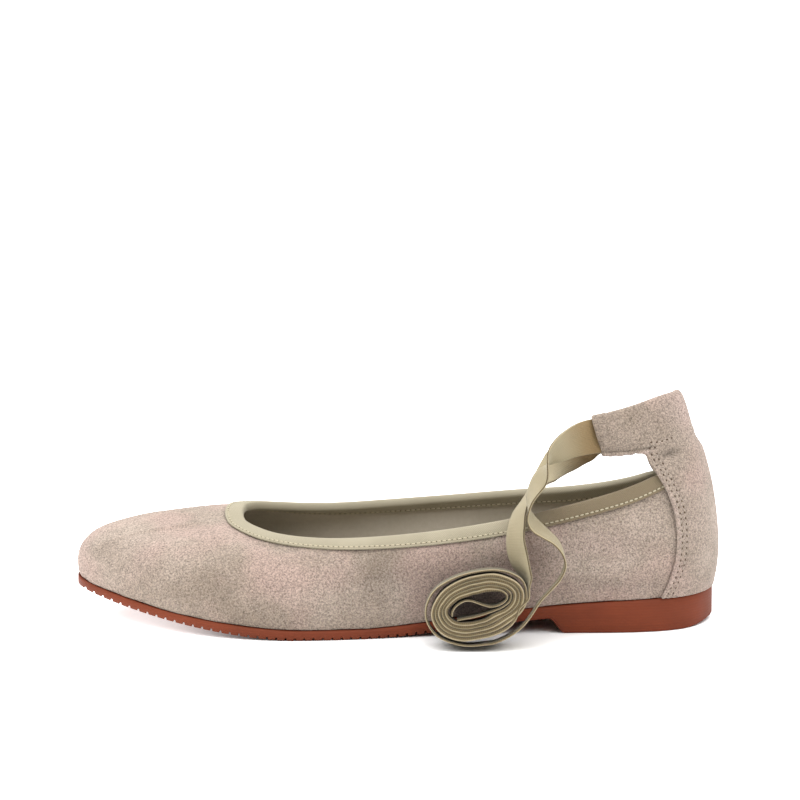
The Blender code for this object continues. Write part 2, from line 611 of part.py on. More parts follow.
def make_roll():
    """Both ends of the tape, wound up together and stood on edge on the floor."""
    turn = np.linspace(0, 2 * math.pi, ROLL_SIDES, endpoint=False)
    tilt = math.radians(ROLL_TILT)
    rings = []
    for scale, high in ((1.0, 1.0), (ROLL_CORE, 0.28)):
        long, short = ROLL_LENGTH / 2 * scale * np.cos(turn), ROLL_HEIGHT / 2 * high * np.sin(turn)
        x, z = long * math.cos(tilt) - short * math.sin(tilt), long * math.sin(tilt) + short * math.cos(tilt)
        rings.append((x, z))
    lean = math.radians(ROLL_LEAN)
    points = []
    for ring, side in ((0, -0.5), (0, 0.5), (1, 0.5), (1, -0.5)):
        x, z = rings[ring]
        y = np.full(ROLL_SIDES, side * TAPE_WIDTH)
        points.append(np.stack([x, y * math.cos(lean) + z * math.sin(lean), z * math.cos(lean) - y * math.sin(lean)], -1))
    points = np.array(points)
    points += np.array([HEEL_BACK_X - ROLL_BACK * SOLE_LENGTH, ROLL_SIDE * BALL_WIDTH, -points[..., 2].min()])
    mesh = mesh_from("tape_roll", points.reshape(-1, 3), grid_faces(4, ROLL_SIDES, True, True))
    add_object("tape_roll", mesh, (0.44, 0.39, 0.20), 0.7)


def main():
    """Builds every piece."""
    clear_scene()
    make_outsole()
    make_insole()
    make_upper()
    make_binding()
    make_heel_panel()
    make_tape()
    make_roll()


main()
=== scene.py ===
"""Looks of a left ballet flat: a suede upper with a folded elastic binding, a suede heel panel with an
ankle casing, a rubber sole, and one elastic ribbon whose two ends are wound up beside the shoe.

Metres, +Z up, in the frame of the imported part: the toe points to -X, the outer side of the foot is -Y.
"""

from __future__ import annotations

import logging
import math
from dataclasses import dataclass, field, replace
from enum import Enum

import bpy
import numpy as np
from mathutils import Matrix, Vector

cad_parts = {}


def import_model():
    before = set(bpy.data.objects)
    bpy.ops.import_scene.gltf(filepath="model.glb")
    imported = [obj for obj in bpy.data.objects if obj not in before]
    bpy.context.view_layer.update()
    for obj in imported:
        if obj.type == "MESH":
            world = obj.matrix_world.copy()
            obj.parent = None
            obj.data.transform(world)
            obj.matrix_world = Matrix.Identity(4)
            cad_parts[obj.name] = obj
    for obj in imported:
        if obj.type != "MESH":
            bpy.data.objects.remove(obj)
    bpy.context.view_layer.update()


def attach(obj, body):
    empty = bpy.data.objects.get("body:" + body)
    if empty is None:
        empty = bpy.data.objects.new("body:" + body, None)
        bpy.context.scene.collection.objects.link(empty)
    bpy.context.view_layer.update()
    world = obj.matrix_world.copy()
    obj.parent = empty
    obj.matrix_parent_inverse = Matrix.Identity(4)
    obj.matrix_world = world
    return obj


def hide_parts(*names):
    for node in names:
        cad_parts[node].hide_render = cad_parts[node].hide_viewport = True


LOG = logging.getLogger("ballet_flat")
# Name of the point attribute that holds the paleness of raw edges and painted light and shade.
WEAR_AND_SHADING = "wear_and_shading"
CHUNK = 20000
"""How many points are compared with a line at a time."""
Colour = tuple[float, float, float]

MERIDIANS = (
    (0.000, 0.040, 15, 0.47, 0.025, 0.040, 1.545, 15, 0.42),
    (0.022, -0.145, 15, 0.47, 0.040, -0.115, 1.525, 17, 0.42),
    (0.065, -0.260, 14, 0.44, 0.075, -0.220, 1.455, 19, 0.38),
    (0.130, -0.310, 14, 0.42, 0.135, -0.280, 1.315, 26, 0.33),
    (0.210, -0.320, 15, 0.37, 0.215, -0.315, 1.185, 38, 0.28),
    (0.300, -0.330, 15, 0.35, 0.305, -0.330, 1.060, 50, 0.26),
    (0.400, -0.365, 14, 0.35, 0.400, -0.335, 0.960, 58, 0.26),
    (0.500, -0.425, 13, 0.35, 0.495, -0.330, 0.890, 63, 0.28),
    (0.600, -0.475, 13, 0.37, 0.580, -0.305, 0.850, 66, 0.33),
    (0.680, -0.485, 13, 0.40, 0.640, -0.265, 0.845, 70, 0.40),
    (0.770, -0.430, 13, 0.42, 0.685, -0.205, 0.858, 74, 0.52),
    (0.860, -0.305, 13, 0.42, 0.715, -0.125, 0.883, 78, 0.70),
    (0.935, -0.150, 13, 0.44, 0.7335, -0.053, 0.910, 82, 0.90),
    (0.985, 0.005, 12, 0.46, 0.7395, 0.010, 0.937, 85, 1.08),
    (1.000, 0.145, 11, 0.49, 0.741, 0.065, 0.960, 87, 1.16),
    (0.985, 0.255, 11, 0.46, 0.7395, 0.120, 0.978, 88, 1.08),
    (0.935, 0.360, 11, 0.44, 0.7335, 0.178, 0.985, 86, 0.90),
    (0.860, 0.450, 10, 0.42, 0.715, 0.238, 0.975, 81, 0.70),
    (0.770, 0.500, 9, 0.42, 0.685, 0.290, 0.950, 76, 0.52),
    (0.700, 0.500, 9, 0.42, 0.640, 0.322, 0.928, 71, 0.40),
    (0.610, 0.455, 10, 0.40, 0.580, 0.342, 0.926, 66, 0.33),
    (0.510, 0.380, 12, 0.37, 0.495, 0.350, 0.958, 61, 0.28),
    (0.410, 0.335, 13, 0.35, 0.400, 0.350, 1.000, 55, 0.28),
    (0.300, 0.340, 14, 0.35, 0.305, 0.350, 1.045, 47, 0.28),
    (0.210, 0.375, 14, 0.37, 0.215, 0.345, 1.083, 38, 0.30),
    (0.130, 0.380, 13, 0.40, 0.135, 0.320, 1.165, 28, 0.33),
    (0.065, 0.335, 13, 0.44, 0.075, 0.270, 1.300, 20, 0.38),
    (0.022, 0.215, 14, 0.47, 0.040, 0.170, 1.480, 17, 0.42),
)
"""Once round the upper from the heel's back by the outer side: where it meets the sole (share of the
length from the heel, share of the ball's width, flare in degrees, pull), and its topline (the same two
shares, height as a share of the instep's, lean in degrees, pull)."""

SOLE_PROFILE = (
    (0.000, 0.00, 1.00, 1.30),
    (0.120, 0.00, 0.95, 1.30),
    (0.240, 0.00, 0.74, 1.30),
    (0.320, 0.00, 0.52, 1.28),
    (0.400, 0.00, 0.28, 1.22),
    (0.480, 0.00, 0.08, 1.12),
    (0.540, 0.00, 0.00, 1.04),
    (0.660, 0.00, 0.00, 1.06),
    (0.720, 0.07, 0.00, 1.07),
    (0.780, 0.20, 0.00, 1.03),
    (0.850, 0.40, 0.00, 0.95),
    (0.920, 0.66, 0.00, 0.93),
    (0.970, 0.87, 0.00, 0.92),
    (1.000, 1.00, 0.00, 0.92),
)
"""Side of the sole: share of the length from the heel, of the toe spring, of the arch, of the thickness."""

CASING = (
    (0.178, -0.255, 1.590, 0.395, 4, 18),
    (0.150, -0.262, 1.600, 0.415, 6, 15),
    (0.110, -0.250, 1.630, 0.445, 9, 10),
    (0.068, -0.190, 1.680, 0.462, 12, 4),
    (0.040, -0.085, 1.725, 0.430, 14, 0),
    (0.033, 0.020, 1.735, 0.415, 14, 0),
    (0.042, 0.125, 1.695, 0.400, 16, 0),
    (0.068, 0.190, 1.610, 0.390, 20, 4),
    (0.105, 0.205, 1.545, 0.395, 23, 10),
    (0.145, 0.185, 1.512, 0.397, 27, 13),
    (0.178, 0.155, 1.495, 0.399, 30, 14),
)
"""Casing from mouth to mouth: back and side shares, height of its seam and its own height as shares of the
instep's, lean and pitch in degrees."""


def smooth_step(share: np.ndarray | float) -> np.ndarray:
    """A share from 0 to 1, eased at both ends."""
    share = np.clip(share, 0.0, 1.0)
    return share * share * (3.0 - 2.0 * share)


def unit(vectors: np.ndarray) -> np.ndarray:
    """The vectors with a length of one each."""
    return vectors / np.maximum(np.linalg.norm(vectors, axis=-1, keepdims=True), 1e-12)


def spline(a: np.ndarray, b: np.ndarray, c: np.ndarray, d: np.ndarray, t: np.ndarray) -> np.ndarray:
    """Values at a share t of the way from b to c, on a smooth curve through four rows."""
    return 0.5 * (2 * b + (c - a) * t + (2 * a - 5 * b + 4 * c - d) * t**2 + (3 * b - a - 3 * c + d) * t**3)


def chart_of(columns: np.ndarray, rows: np.ndarray) -> np.ndarray:
    """The two pattern coordinates of a grid, from those of its columns and of its rows."""
    return np.stack(np.broadcast_arrays(columns[None], rows[:, None]), -1)


def on_line(at: np.ndarray | float, far: np.ndarray, line: np.ndarray) -> np.ndarray:
    """Places on a line of points, at distances along it."""
    return np.stack([np.interp(at, far, line[:, k]) for k in range(3)], -1)


def on_loop(values: np.ndarray, at: np.ndarray) -> np.ndarray:
    """Values at any places on a smooth closed curve through rows of values.

    Args:
        values: The rows, one for each whole place.
        at: The places, in rows from the first.

    Returns:
        The values there.
    """
    k = np.floor(at).astype(int)
    n, t = len(values), at - k
    a, b, c, d = values[(k - 1) % n], values[k % n], values[(k + 1) % n], values[(k + 2) % n]
    return spline(a, b, c, d, t)


def through(at: np.ndarray, known: np.ndarray, values: np.ndarray) -> np.ndarray:
    """Values at places on a smooth open curve.

    Args:
        at: The places asked for.
        known: The rising places where the values are known.
        values: The known values, one number or one row of numbers for each place.

    Returns:
        The values at the places asked for.
    """
    known, values = np.asarray(known, float), np.asarray(values, float)
    slope = np.gradient(values, known, axis=0)
    k = np.clip(np.searchsorted(known, at, side="right") - 1, 0, len(known) - 2)
    span = known[k + 1] - known[k]
    t = (np.asarray(at, float) - known[k]) / span
    if values.ndim > 1:
        span, t = span[..., None], t[..., None]
    return ((2 * t**3 - 3 * t**2 + 1) * values[k] + (t**3 - 2 * t**2 + t) * span * slope[k]
            + (3 * t**2 - 2 * t**3) * values[k + 1] + (t**3 - t**2) * span * slope[k + 1])


def line_length(points: np.ndarray) -> np.ndarray:
    """How far along a line of points each one is, in metres."""
    steps = np.linalg.norm(np.diff(points, axis=0), axis=1)
    return np.concatenate([[0.0], np.cumsum(steps)])


@dataclass(frozen=True)
class PhotoView:
    """The photo's view: the camera's place and lens, and the way back from the photo to the shoe."""

    elevation: float = 11.5
    distance: float = 2.0
    lens: float = 231.4
    sensor: float = 36.0
    side: float = 800.0
    aim: Colour = (0.0006, 0.0, 0.0872)

    def places(self, right: np.ndarray, down: np.ndarray, y: np.ndarray) -> np.ndarray:
        """Places in the part's frame.

        Args:
            right: Pixels from the photo's left edge.
            down: Pixels from its top edge.
            y: How far across the shoe each place lies, in metres.

        Returns:
            The places.
        """
        tilt, focus = math.radians(self.elevation), self.lens / self.sensor * self.side
        rise = (self.side / 2 - down) / focus
        deep = self.distance + y * math.cos(tilt)
        z = (rise * deep - y * math.sin(tilt)) / (math.cos(tilt) + rise * math.sin(tilt))
        x = (right - self.side / 2) / focus * (deep - z * math.sin(tilt))
        return np.stack([x, y, z], -1) + np.array(self.aim)

    def ways(self, seen: np.ndarray) -> np.ndarray:
        """Directions in the part's frame, from rows of right, up and away."""
        tilt, seen = math.radians(self.elevation), unit(seen)
        rise, sink = math.sin(tilt), math.cos(tilt)
        return np.stack([seen[:, 0], seen[:, 1] * rise + seen[:, 2] * sink,
                         seen[:, 1] * sink - seen[:, 2] * rise], -1)


@dataclass(frozen=True)
class LastForm:
    """The form of the last that every leather piece is drawn over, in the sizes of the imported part."""

    sole_length: float = 0.2493
    ball_width: float = 0.0760
    instep_height: float = 0.0430
    heel_back_x: float = 0.1231
    sole_margin: float = 0.0006
    fit_gap: float = 0.0003
    forefoot_thickness: float = 0.0037
    toe_spring: float = 0.0121
    arch_height: float = 0.0084
    upper_wall: float = 0.0016
    meridians: np.ndarray = field(default_factory=lambda: np.array(MERIDIANS, float))
    side: np.ndarray = field(default_factory=lambda: np.array(SOLE_PROFILE, float))

    @property
    def round_count(self) -> int:
        """How many meridians go once round."""
        return len(self.meridians)

    def profile(self, x: np.ndarray, kind: int) -> np.ndarray:
        """One column of the sole's side profile at places x along the shoe."""
        back = np.clip((self.heel_back_x - x) / self.sole_length, 0, 1)
        return through(back, self.side[:, 0], self.side[:, kind])

    def waist(self, x: np.ndarray) -> np.ndarray:
        """Height of the sole's underside without its heel."""
        toe, arch = np.maximum(self.profile(x, 1), 0), np.maximum(self.profile(x, 2), 0)
        return toe * self.toe_spring + arch * self.arch_height

    def top(self, x: np.ndarray) -> np.ndarray:
        """Height of the sole's upper face."""
        return self.waist(x) + self.profile(x, 3) * self.forefoot_thickness

    def foot(self, around: np.ndarray) -> np.ndarray:
        """Where the upper's face meets the sole, at places around the shoe."""
        back = on_loop(self.meridians[:, 0], around)
        side = on_loop(self.meridians[:, 1], around)
        x = self.heel_back_x - self.sole_margin - back * (self.sole_length - 2 * self.sole_margin)
        return np.stack([x, side * self.ball_width, self.top(x) + self.fit_gap], -1)

    def rim(self, around: np.ndarray) -> np.ndarray:
        """The topline, at places around the shoe."""
        back, side, height = (on_loop(self.meridians[:, k], around) for k in (4, 5, 6))
        return self.at(back, side, height)

    def at(self, back: np.ndarray, side: np.ndarray, height: np.ndarray) -> np.ndarray:
        """Places from shares of the sole's length, the ball's width and the instep's height."""
        return np.stack([self.heel_back_x - back * self.sole_length, side * self.ball_width,
                         height * self.instep_height], -1)

    @staticmethod
    def outward(loop: object, around: np.ndarray) -> np.ndarray:
        """Level directions out of a loop, which is a function of the place around the shoe."""
        along = loop(around + 0.05) - loop(around - 0.05)
        return unit(np.stack([-along[..., 1], along[..., 0], np.zeros(np.shape(around))], -1))

    def wall(self, around: np.ndarray, share: np.ndarray) -> np.ndarray:
        """The upper's outer face.

        Args:
            around: Places round the shoe, in meridians from the heel's back by the outer side.
            share: Shares of the way up from the sole to the topline.

        Returns:
            The points there.
        """
        around, share = np.broadcast_arrays(np.asarray(around, float), np.asarray(share, float))
        columns = (on_loop(self.meridians[:, k], around)[..., None] for k in (2, 3, 7, 8))
        flare, low_pull, lean, high_pull = columns
        flare, lean = np.radians(flare), np.radians(lean)
        up = np.array([0.0, 0.0, 1.0])
        foot, rim = self.foot(around), self.rim(around)
        low_way = self.outward(self.foot, around) * np.sin(flare) + up * np.cos(flare)
        high_way = self.outward(self.rim, around) * np.sin(lean) - up * np.cos(lean)
        low = foot + low_way * low_pull * self.instep_height
        high = rim + high_way * high_pull * self.instep_height
        t = share[..., None]
        return foot * (1 - t)**3 + low * 3 * t * (1 - t)**2 + high * 3 * t**2 * (1 - t) + rim * t**3

    def normal(self, around: np.ndarray, share: np.ndarray) -> np.ndarray:
        """Directions out of the upper's face, at the same kind of places as for wall."""
        around, share = np.broadcast_arrays(np.asarray(around, float), np.asarray(share, float))
        up = self.wall(around, np.minimum(share + 0.02, 1)) - self.wall(around, np.maximum(share - 0.02, 0))
        along = self.wall(around + 0.04, share) - self.wall(around - 0.04, share)
        return unit(np.cross(up, along))

    def edges(self, x: np.ndarray, growth: float) -> tuple[np.ndarray, np.ndarray]:
        """Outer and inner edge of the sole's outline.

        Args:
            x: Places along the shoe.
            growth: How far the outline is grown outward.

        Returns:
            The y of the outer edge and of the inner edge.
        """
        around = np.arange(0, self.round_count, 0.03125)
        loop = self.foot(around) + self.outward(self.foot, around) * growth
        back, toe = int(np.argmax(loop[:, 0])), int(np.argmin(loop[:, 0]))
        loop, toe = np.roll(loop, -back, 0), (toe - back) % len(loop)
        outer, inner = loop[:toe + 1][::-1], np.concatenate([loop[toe:], loop[:1]])
        return np.interp(x, outer[:, 0], outer[:, 1]), np.interp(x, inner[:, 0], inner[:, 1])

    def reach(self, growth: float) -> tuple[float, float]:
        """First and last x of the outline grown outward."""
        around = np.arange(0, self.round_count, 0.03125)
        loop = self.foot(around) + self.outward(self.foot, around) * growth
        return float(loop[:, 0].min()), float(loop[:, 0].max())


class Bench:
    """The steps of mesh work that the pieces share."""

    @staticmethod
    def paint(piece: bpy.types.Object, values: np.ndarray) -> None:
        """Keeps one value a point: paler above zero, as on raw edges and painted highlights, darker below, as
        painted shade.
        """
        layer = piece.data.attributes.new(WEAR_AND_SHADING, "FLOAT", "POINT")
        layer.data.foreach_set("value", np.asarray(values, np.float32))

    @staticmethod
    def only(piece: bpy.types.Object | None) -> None:
        """Selects one piece and nothing else, or nothing."""
        bpy.ops.object.select_all(action="DESELECT")
        if piece is not None:
            piece.select_set(True)
            bpy.context.view_layer.objects.active = piece

    @staticmethod
    def grid(name: str, points: np.ndarray, chart: np.ndarray) -> bpy.types.Object:
        """A primitive grid laid over rows of points.

        Args:
            name: The piece's name.
            points: Places of the grid's points, rows by columns by three.
            chart: The two pattern coordinates of each point, in metres unless the piece says otherwise.

        Returns:
            The piece, open at its edges.
        """
        rows, columns = points.shape[:2]
        Bench.only(None)
        bpy.ops.mesh.primitive_grid_add(x_subdivisions=columns - 1, y_subdivisions=rows - 1, size=1.0)
        piece = bpy.context.active_object
        piece.name = piece.data.name = name
        mesh = piece.data
        flat = np.empty(len(mesh.vertices) * 3, np.float32)
        mesh.vertices.foreach_get("co", flat)
        flat = flat.reshape(-1, 3)
        i = np.rint((flat[:, 0] + 0.5) * (columns - 1)).astype(int)
        j = np.rint((flat[:, 1] + 0.5) * (rows - 1)).astype(int)
        mesh.vertices.foreach_set("co", np.ascontiguousarray(points[j, i], np.float32).ravel())
        corner = np.empty(len(mesh.loops), np.int32)
        mesh.loops.foreach_get("vertex_index", corner)
        places = np.ascontiguousarray(chart[j, i][corner], np.float32)
        mesh.uv_layers[0].data.foreach_set("uv", places.ravel())
        mesh.update()
        return piece

    @staticmethod
    def both_sides(x: np.ndarray, total: np.ndarray, rows: list) -> np.ndarray:
        """Closed rings along a sole.

        Args:
            x: Places along the shoe.
            total: The sum of the y of its two edges at each place.
            rows: The y and z of each ring's points on the outer side, from the top round to below.

        Returns:
            The rings of both sides, with the first again at the end.
        """
        points = [np.stack([x, y, z], -1) for y, z in rows]
        mirrored = [np.stack([x, total - y, z], -1) for y, z in rows[::-1]]
        return np.stack(points + mirrored + points[:1])

    @staticmethod
    def close(piece: bpy.types.Object, fill: bool = False) -> bpy.types.Object:
        """Joins a piece's edges where they meet, fills its ends if asked, and turns its faces outward."""
        Bench.only(piece)
        bpy.ops.object.mode_set(mode="EDIT")
        bpy.ops.mesh.select_all(action="SELECT")
        bpy.ops.mesh.remove_doubles(threshold=0.000002)
        if fill:
            bpy.ops.mesh.fill_holes(sides=0)
            bpy.ops.mesh.select_all(action="SELECT")
        bpy.ops.mesh.normals_make_consistent(inside=False)
        bpy.ops.object.mode_set(mode="OBJECT")
        bpy.ops.object.shade_smooth()
        return piece

    @staticmethod
    def subdivide(piece: bpy.types.Object, levels: int) -> None:
        """Applies a Subdivision Surface modifier."""
        Bench.only(piece)
        modifier = piece.modifiers.new("Round", "SUBSURF")
        modifier.levels = modifier.render_levels = levels
        bpy.ops.object.modifier_apply(modifier=modifier.name)

    @staticmethod
    def from_faces(name: str, points: np.ndarray, faces: list[tuple[int, ...]]) -> bpy.types.Object:
        """A piece from points and faces, linked to the scene."""
        mesh = bpy.data.meshes.new(name)
        mesh.from_pydata([tuple(p) for p in np.asarray(points, float)], [], faces)
        piece = bpy.data.objects.new(name, mesh)
        bpy.context.scene.collection.objects.link(piece)
        mesh.update()
        return piece

    @staticmethod
    def places(piece: bpy.types.Object) -> np.ndarray:
        """The places of a piece's points."""
        flat = np.empty(len(piece.data.vertices) * 3, np.float32)
        piece.data.vertices.foreach_get("co", flat)
        return flat.reshape(-1, 3).astype(float)

    @staticmethod
    def normals(piece: bpy.types.Object) -> np.ndarray:
        """The directions out of a piece at its points."""
        flat = np.empty(len(piece.data.vertices) * 3, np.float32)
        piece.data.vertex_normals.foreach_get("vector", flat)
        return flat.reshape(-1, 3).astype(float)

    @staticmethod
    def put(piece: bpy.types.Object, places: np.ndarray) -> None:
        """Moves a piece's points to new places."""
        piece.data.vertices.foreach_set("co", np.ascontiguousarray(places, np.float32).ravel())
        piece.data.update()


@dataclass(frozen=True)
class Crease:
    """A soft trough, or a ridge where its depth is above zero, between two places on a surface."""

    start: tuple[float, float, float]
    end: tuple[float, float, float]
    width: float
    depth: float

    def seated(self, piece: bpy.types.Object) -> "Crease":
        """The same crease with its ends laid on a piece."""
        ends = [tuple(piece.closest_point_on_mesh(Vector(end))[1]) for end in (self.start, self.end)]
        return replace(self, start=ends[0], end=ends[1])

    def raise_by(self, places: np.ndarray) -> np.ndarray:
        """How far each place moves out of the surface."""
        a, b = np.array(self.start), np.array(self.end)
        along = b - a
        length = np.linalg.norm(along)
        t = (places - a) @ along / length**2
        off = np.linalg.norm(places - a - np.clip(t, 0, 1)[:, None] * along, axis=1)
        taper = 0.25 + 0.75 * np.sin(np.clip(t, 0.0, 1.0) * math.pi)
        return self.depth * taper * np.exp(-(off / self.width)**2)


@dataclass(frozen=True)
class Patch:
    """A soft spot painted paler, or darker where its value is below zero; several are painted light and
    shade.
    """

    middle: tuple[float, float, float]
    size: tuple[float, float, float]
    value: float

    def tone(self, places: np.ndarray) -> np.ndarray:
        """How far the spot changes each place."""
        off = (places - np.array(self.middle)) / np.array(self.size)
        return self.value * np.exp(-np.sum(off**2, axis=-1))


class Term:
    """A value in a material, whose sums and products add Math nodes."""

    def __init__(self, recipe: "Recipe", socket: bpy.types.NodeSocket) -> None:
        """Wraps a socket of a recipe."""
        self.recipe = recipe
        self.socket = socket

    def __add__(self, other: "Term | float") -> "Term":
        """Sum."""
        return self.recipe.maths("ADD", self, other)

    def __radd__(self, other: float) -> "Term":
        """Sum with a number first."""
        return self.recipe.maths("ADD", other, self)

    def __sub__(self, other: "Term | float") -> "Term":
        """Difference."""
        return self.recipe.maths("SUBTRACT", self, other)

    def __rsub__(self, other: float) -> "Term":
        """Difference from a number."""
        return self.recipe.maths("SUBTRACT", other, self)

    def __mul__(self, other: "Term | float") -> "Term":
        """Product."""
        return self.recipe.maths("MULTIPLY", self, other)

    def sine(self) -> "Term":
        """Sine."""
        return self.recipe.maths("SINE", self)

    def size(self) -> "Term":
        """Absolute value."""
        return self.recipe.maths("ABSOLUTE", self)

    def step(self, low: float, high: float) -> "Term":
        """A smooth step from 0 at low to 1 at high."""
        sockets = {"Value": self, "From Min": low, "From Max": high}
        made = self.recipe.node("ShaderNodeMapRange", {"interpolation_type": "SMOOTHSTEP"}, sockets)
        return Term(self.recipe, made.outputs["Result"])


class Recipe:
    """A material in the making, around its Principled shader."""

    def __init__(self, name: str) -> None:
        """Starts a material of that name."""
        self.material = bpy.data.materials.new(name)
        self.material.use_nodes = True
        self.tree = self.material.node_tree
        self.shader = self.tree.nodes["Principled BSDF"]

    def feed(self, socket: bpy.types.NodeSocket, value: object) -> None:
        """Links or sets one socket."""
        if isinstance(value, Term):
            value = value.socket
        if isinstance(value, bpy.types.NodeSocket):
            self.tree.links.new(value, socket)
        elif isinstance(value, tuple) and socket.type == "RGBA":
            socket.default_value = (*value[:3], 1.0)
        else:
            socket.default_value = value

    def node(self, kind: str, settings: dict | None = None, sockets: dict | None = None) -> bpy.types.Node:
        """Adds a node.

        Args:
            kind: The node's type.
            settings: Its own settings, set first.
            sockets: The values or links of its sockets, by name or number.

        Returns:
            The node.
        """
        made = self.tree.nodes.new(kind)
        for key, value in (settings or {}).items():
            setattr(made, key, value)
        for key, value in (sockets or {}).items():
            self.feed(made.inputs[key], value)
        return made

    def maths(self, operation: str, *values: "Term | float") -> Term:
        """A Math node on one to three values."""
        made = self.node("ShaderNodeMath", {"operation": operation}, dict(enumerate(values)))
        return Term(self, made.outputs[0])

    def place(self, stretch: Colour = (1.0, 1.0, 1.0)) -> bpy.types.NodeSocket:
        """Object coordinates, stretched."""
        coordinates = self.node("ShaderNodeTexCoord").outputs["Object"]
        if stretch == (1.0, 1.0, 1.0):
            return coordinates
        sockets = {"Vector": coordinates, "Scale": stretch}
        return self.node("ShaderNodeMapping", None, sockets).outputs["Vector"]

    def chart(self) -> tuple[Term, Term]:
        """The piece's own two pattern coordinates."""
        parts = self.node("ShaderNodeSeparateXYZ", None, {0: self.node("ShaderNodeUVMap").outputs["UV"]})
        return Term(self, parts.outputs["X"]), Term(self, parts.outputs["Y"])

    def worn_and_shaded(self) -> Term:
        """Paint on the points, from -1 to 1: raw edges, painted light and painted shade."""
        return Term(self, self.node("ShaderNodeAttribute", {"attribute_name": WEAR_AND_SHADING}).outputs["Fac"])

    def axes(self) -> tuple[Term, Term, Term]:
        """The three object coordinates."""
        parts = self.node("ShaderNodeSeparateXYZ", None, {0: self.place()})
        return tuple(Term(self, parts.outputs[name]) for name in "XYZ")

    def noise(self, scale: float, detail: float = 2.0, rough: float = 0.5, place: object = None) -> Term:
        """Noise from 0 to 1, with so many waves in a metre."""
        sockets = {"Vector": place or self.place(), "Scale": scale, "Detail": detail, "Roughness": rough}
        return Term(self, self.node("ShaderNodeTexNoise", None, sockets).outputs["Fac"])

    def blend(self, share: "Term | float", first: object, second: object) -> bpy.types.NodeSocket:
        """A mix of two colours."""
        settings = {"data_type": "RGBA"}
        return self.node("ShaderNodeMix", settings, {0: share, 6: first, 7: second}).outputs[2]

    def bright(self, colour: object, gain: Term) -> bpy.types.NodeSocket:
        """A colour times a value."""
        settings = {"operation": "SCALE"}
        return self.node("ShaderNodeVectorMath", settings, {0: colour, "Scale": gain}).outputs[0]

    def relief(self, height: Term, distance: float, strength: float = 1.0) -> None:
        """Feeds a Bump node on that height into the shader's normal."""
        sockets = {"Height": height, "Distance": distance, "Strength": strength}
        self.feed(self.shader.inputs["Normal"], self.node("ShaderNodeBump", None, sockets).outputs["Normal"])

    def finish(self, sockets: dict) -> bpy.types.Material:
        """Sets the shader's sockets and hands the material over."""
        for key, value in sockets.items():
            self.feed(self.shader.inputs[key], value)
        return self.material


@dataclass(frozen=True)
class Suede:
    """Napped leather: soft patches where the nap lies another way, over a fine worm-like grain."""

    name: str
    lit: Colour
    deep: Colour
    rosy: Colour
    # Pale colour of raw edges, also used for painted highlights.
    raw: Colour = (0.36, 0.275, 0.245)
    grain: float = 1450.0
    relief: float = 0.00022

    def material(self) -> bpy.types.Material:
        """Builds the material."""
        recipe = Recipe(self.name)
        wide = recipe.noise(18.0, 2.0, 0.5).step(0.36, 0.64)
        soft = recipe.noise(52.0, 3.0, 0.55, recipe.place((1.0, 1.0, 1.5))).step(0.33, 0.67)
        fine = recipe.noise(self.grain, 1.0, 0.6).step(0.30, 0.70)
        worm = (recipe.noise(self.grain * 0.62, 1.0, 0.5) - 0.5).size().step(0.0, 0.10)
        speck = recipe.noise(self.grain * 2.1, 0.0, 0.5).step(0.25, 0.75)
        rosy = recipe.noise(30.0, 2.0, 0.5, recipe.place((1.0, 1.3, 1.0))).step(0.44, 0.66)
        colour = recipe.blend(wide * 0.55 + soft * 0.45, self.deep, self.lit)
        colour = recipe.blend(rosy * 0.8, colour, self.rosy)
        nap = fine * 0.45 + worm * 0.3 + speck * 0.25
        gain = 0.42 + nap * 1.02
        # Above zero the suede turns toward the pale raw colour: raw edges, and painted highlights on ridges
        # and on the heel's back. Below zero it is darkened: painted shade in creases, dents, stitch rows and
        # a groove, and a painted shadow behind the roll.
        worn_and_shaded = recipe.worn_and_shaded()
        colour = recipe.blend(worn_and_shaded.step(0.0, 1.0) * 0.8, colour, self.raw)
        colour = recipe.bright(colour, gain * (1.0 - (worn_and_shaded * -1.0).step(0.0, 1.0) * 0.72))
        recipe.relief(nap, self.relief, 1.0)
        return recipe.finish({
            "Base Color": colour, "Roughness": 0.96, "Specular IOR Level": 0.12,
            "Sheen Weight": 0.18, "Sheen Roughness": 0.55, "Sheen Tint": (1.0, 0.93, 0.88),
        })


@dataclass(frozen=True)
class Smooth:
    """Smooth lining leather with a faint grain."""

    name: str
    colour: Colour
    dark: Colour
    roughness: float = 0.62

    def material(self) -> bpy.types.Material:
        """Builds the material."""
        recipe = Recipe(self.name)
        grain = recipe.noise(700.0, 3.0, 0.6)
        cloud = recipe.noise(40.0, 2.0, 0.5).step(0.3, 0.7)
        colour = recipe.bright(recipe.blend(cloud, self.dark, self.colour), 0.9 + grain * 0.2)
        recipe.relief(grain, 0.00006, 0.6)
        return recipe.finish({
            "Base Color": colour, "Roughness": self.roughness + grain * 0.2, "Specular IOR Level": 0.3,
        })


@dataclass(frozen=True)
class Rubber:
    """Moulded terracotta rubber with faint lines along its edge."""

    name: str
    colour: Colour
    dark: Colour
    line_pitch: float = 0.0011

    def material(self) -> bpy.types.Material:
        """Builds the material."""
        recipe = Recipe(self.name)
        height = recipe.axes()[2]
        cloud = recipe.noise(55.0, 3.0, 0.55).step(0.3, 0.7)
        speck = recipe.noise(1600.0, 2.0, 0.6)
        wobble = recipe.noise(90.0, 1.0, 0.5)
        lines = ((height + wobble * 0.0007) * (2 * math.pi / self.line_pitch)).sine()
        streak = recipe.noise(500.0, 2.0, 0.5, recipe.place((0.05, 0.05, 1.0)))
        colour = recipe.blend(cloud * 0.6 + streak * 0.4, self.dark, self.colour)
        colour = recipe.bright(colour, 0.93 + lines * 0.035 + speck * 0.12)
        recipe.relief(lines * 0.25 + streak * 0.5 + speck * 0.35, 0.00007, 0.8)
        return recipe.finish({
            "Base Color": colour, "Roughness": 0.56 + speck * 0.16, "Specular IOR Level": 0.22,
        })


class Weave(Enum):
    """How a woven elastic piece is ribbed."""

    DIAGONAL = "diagonal"
    LENGTHWISE = "lengthwise"


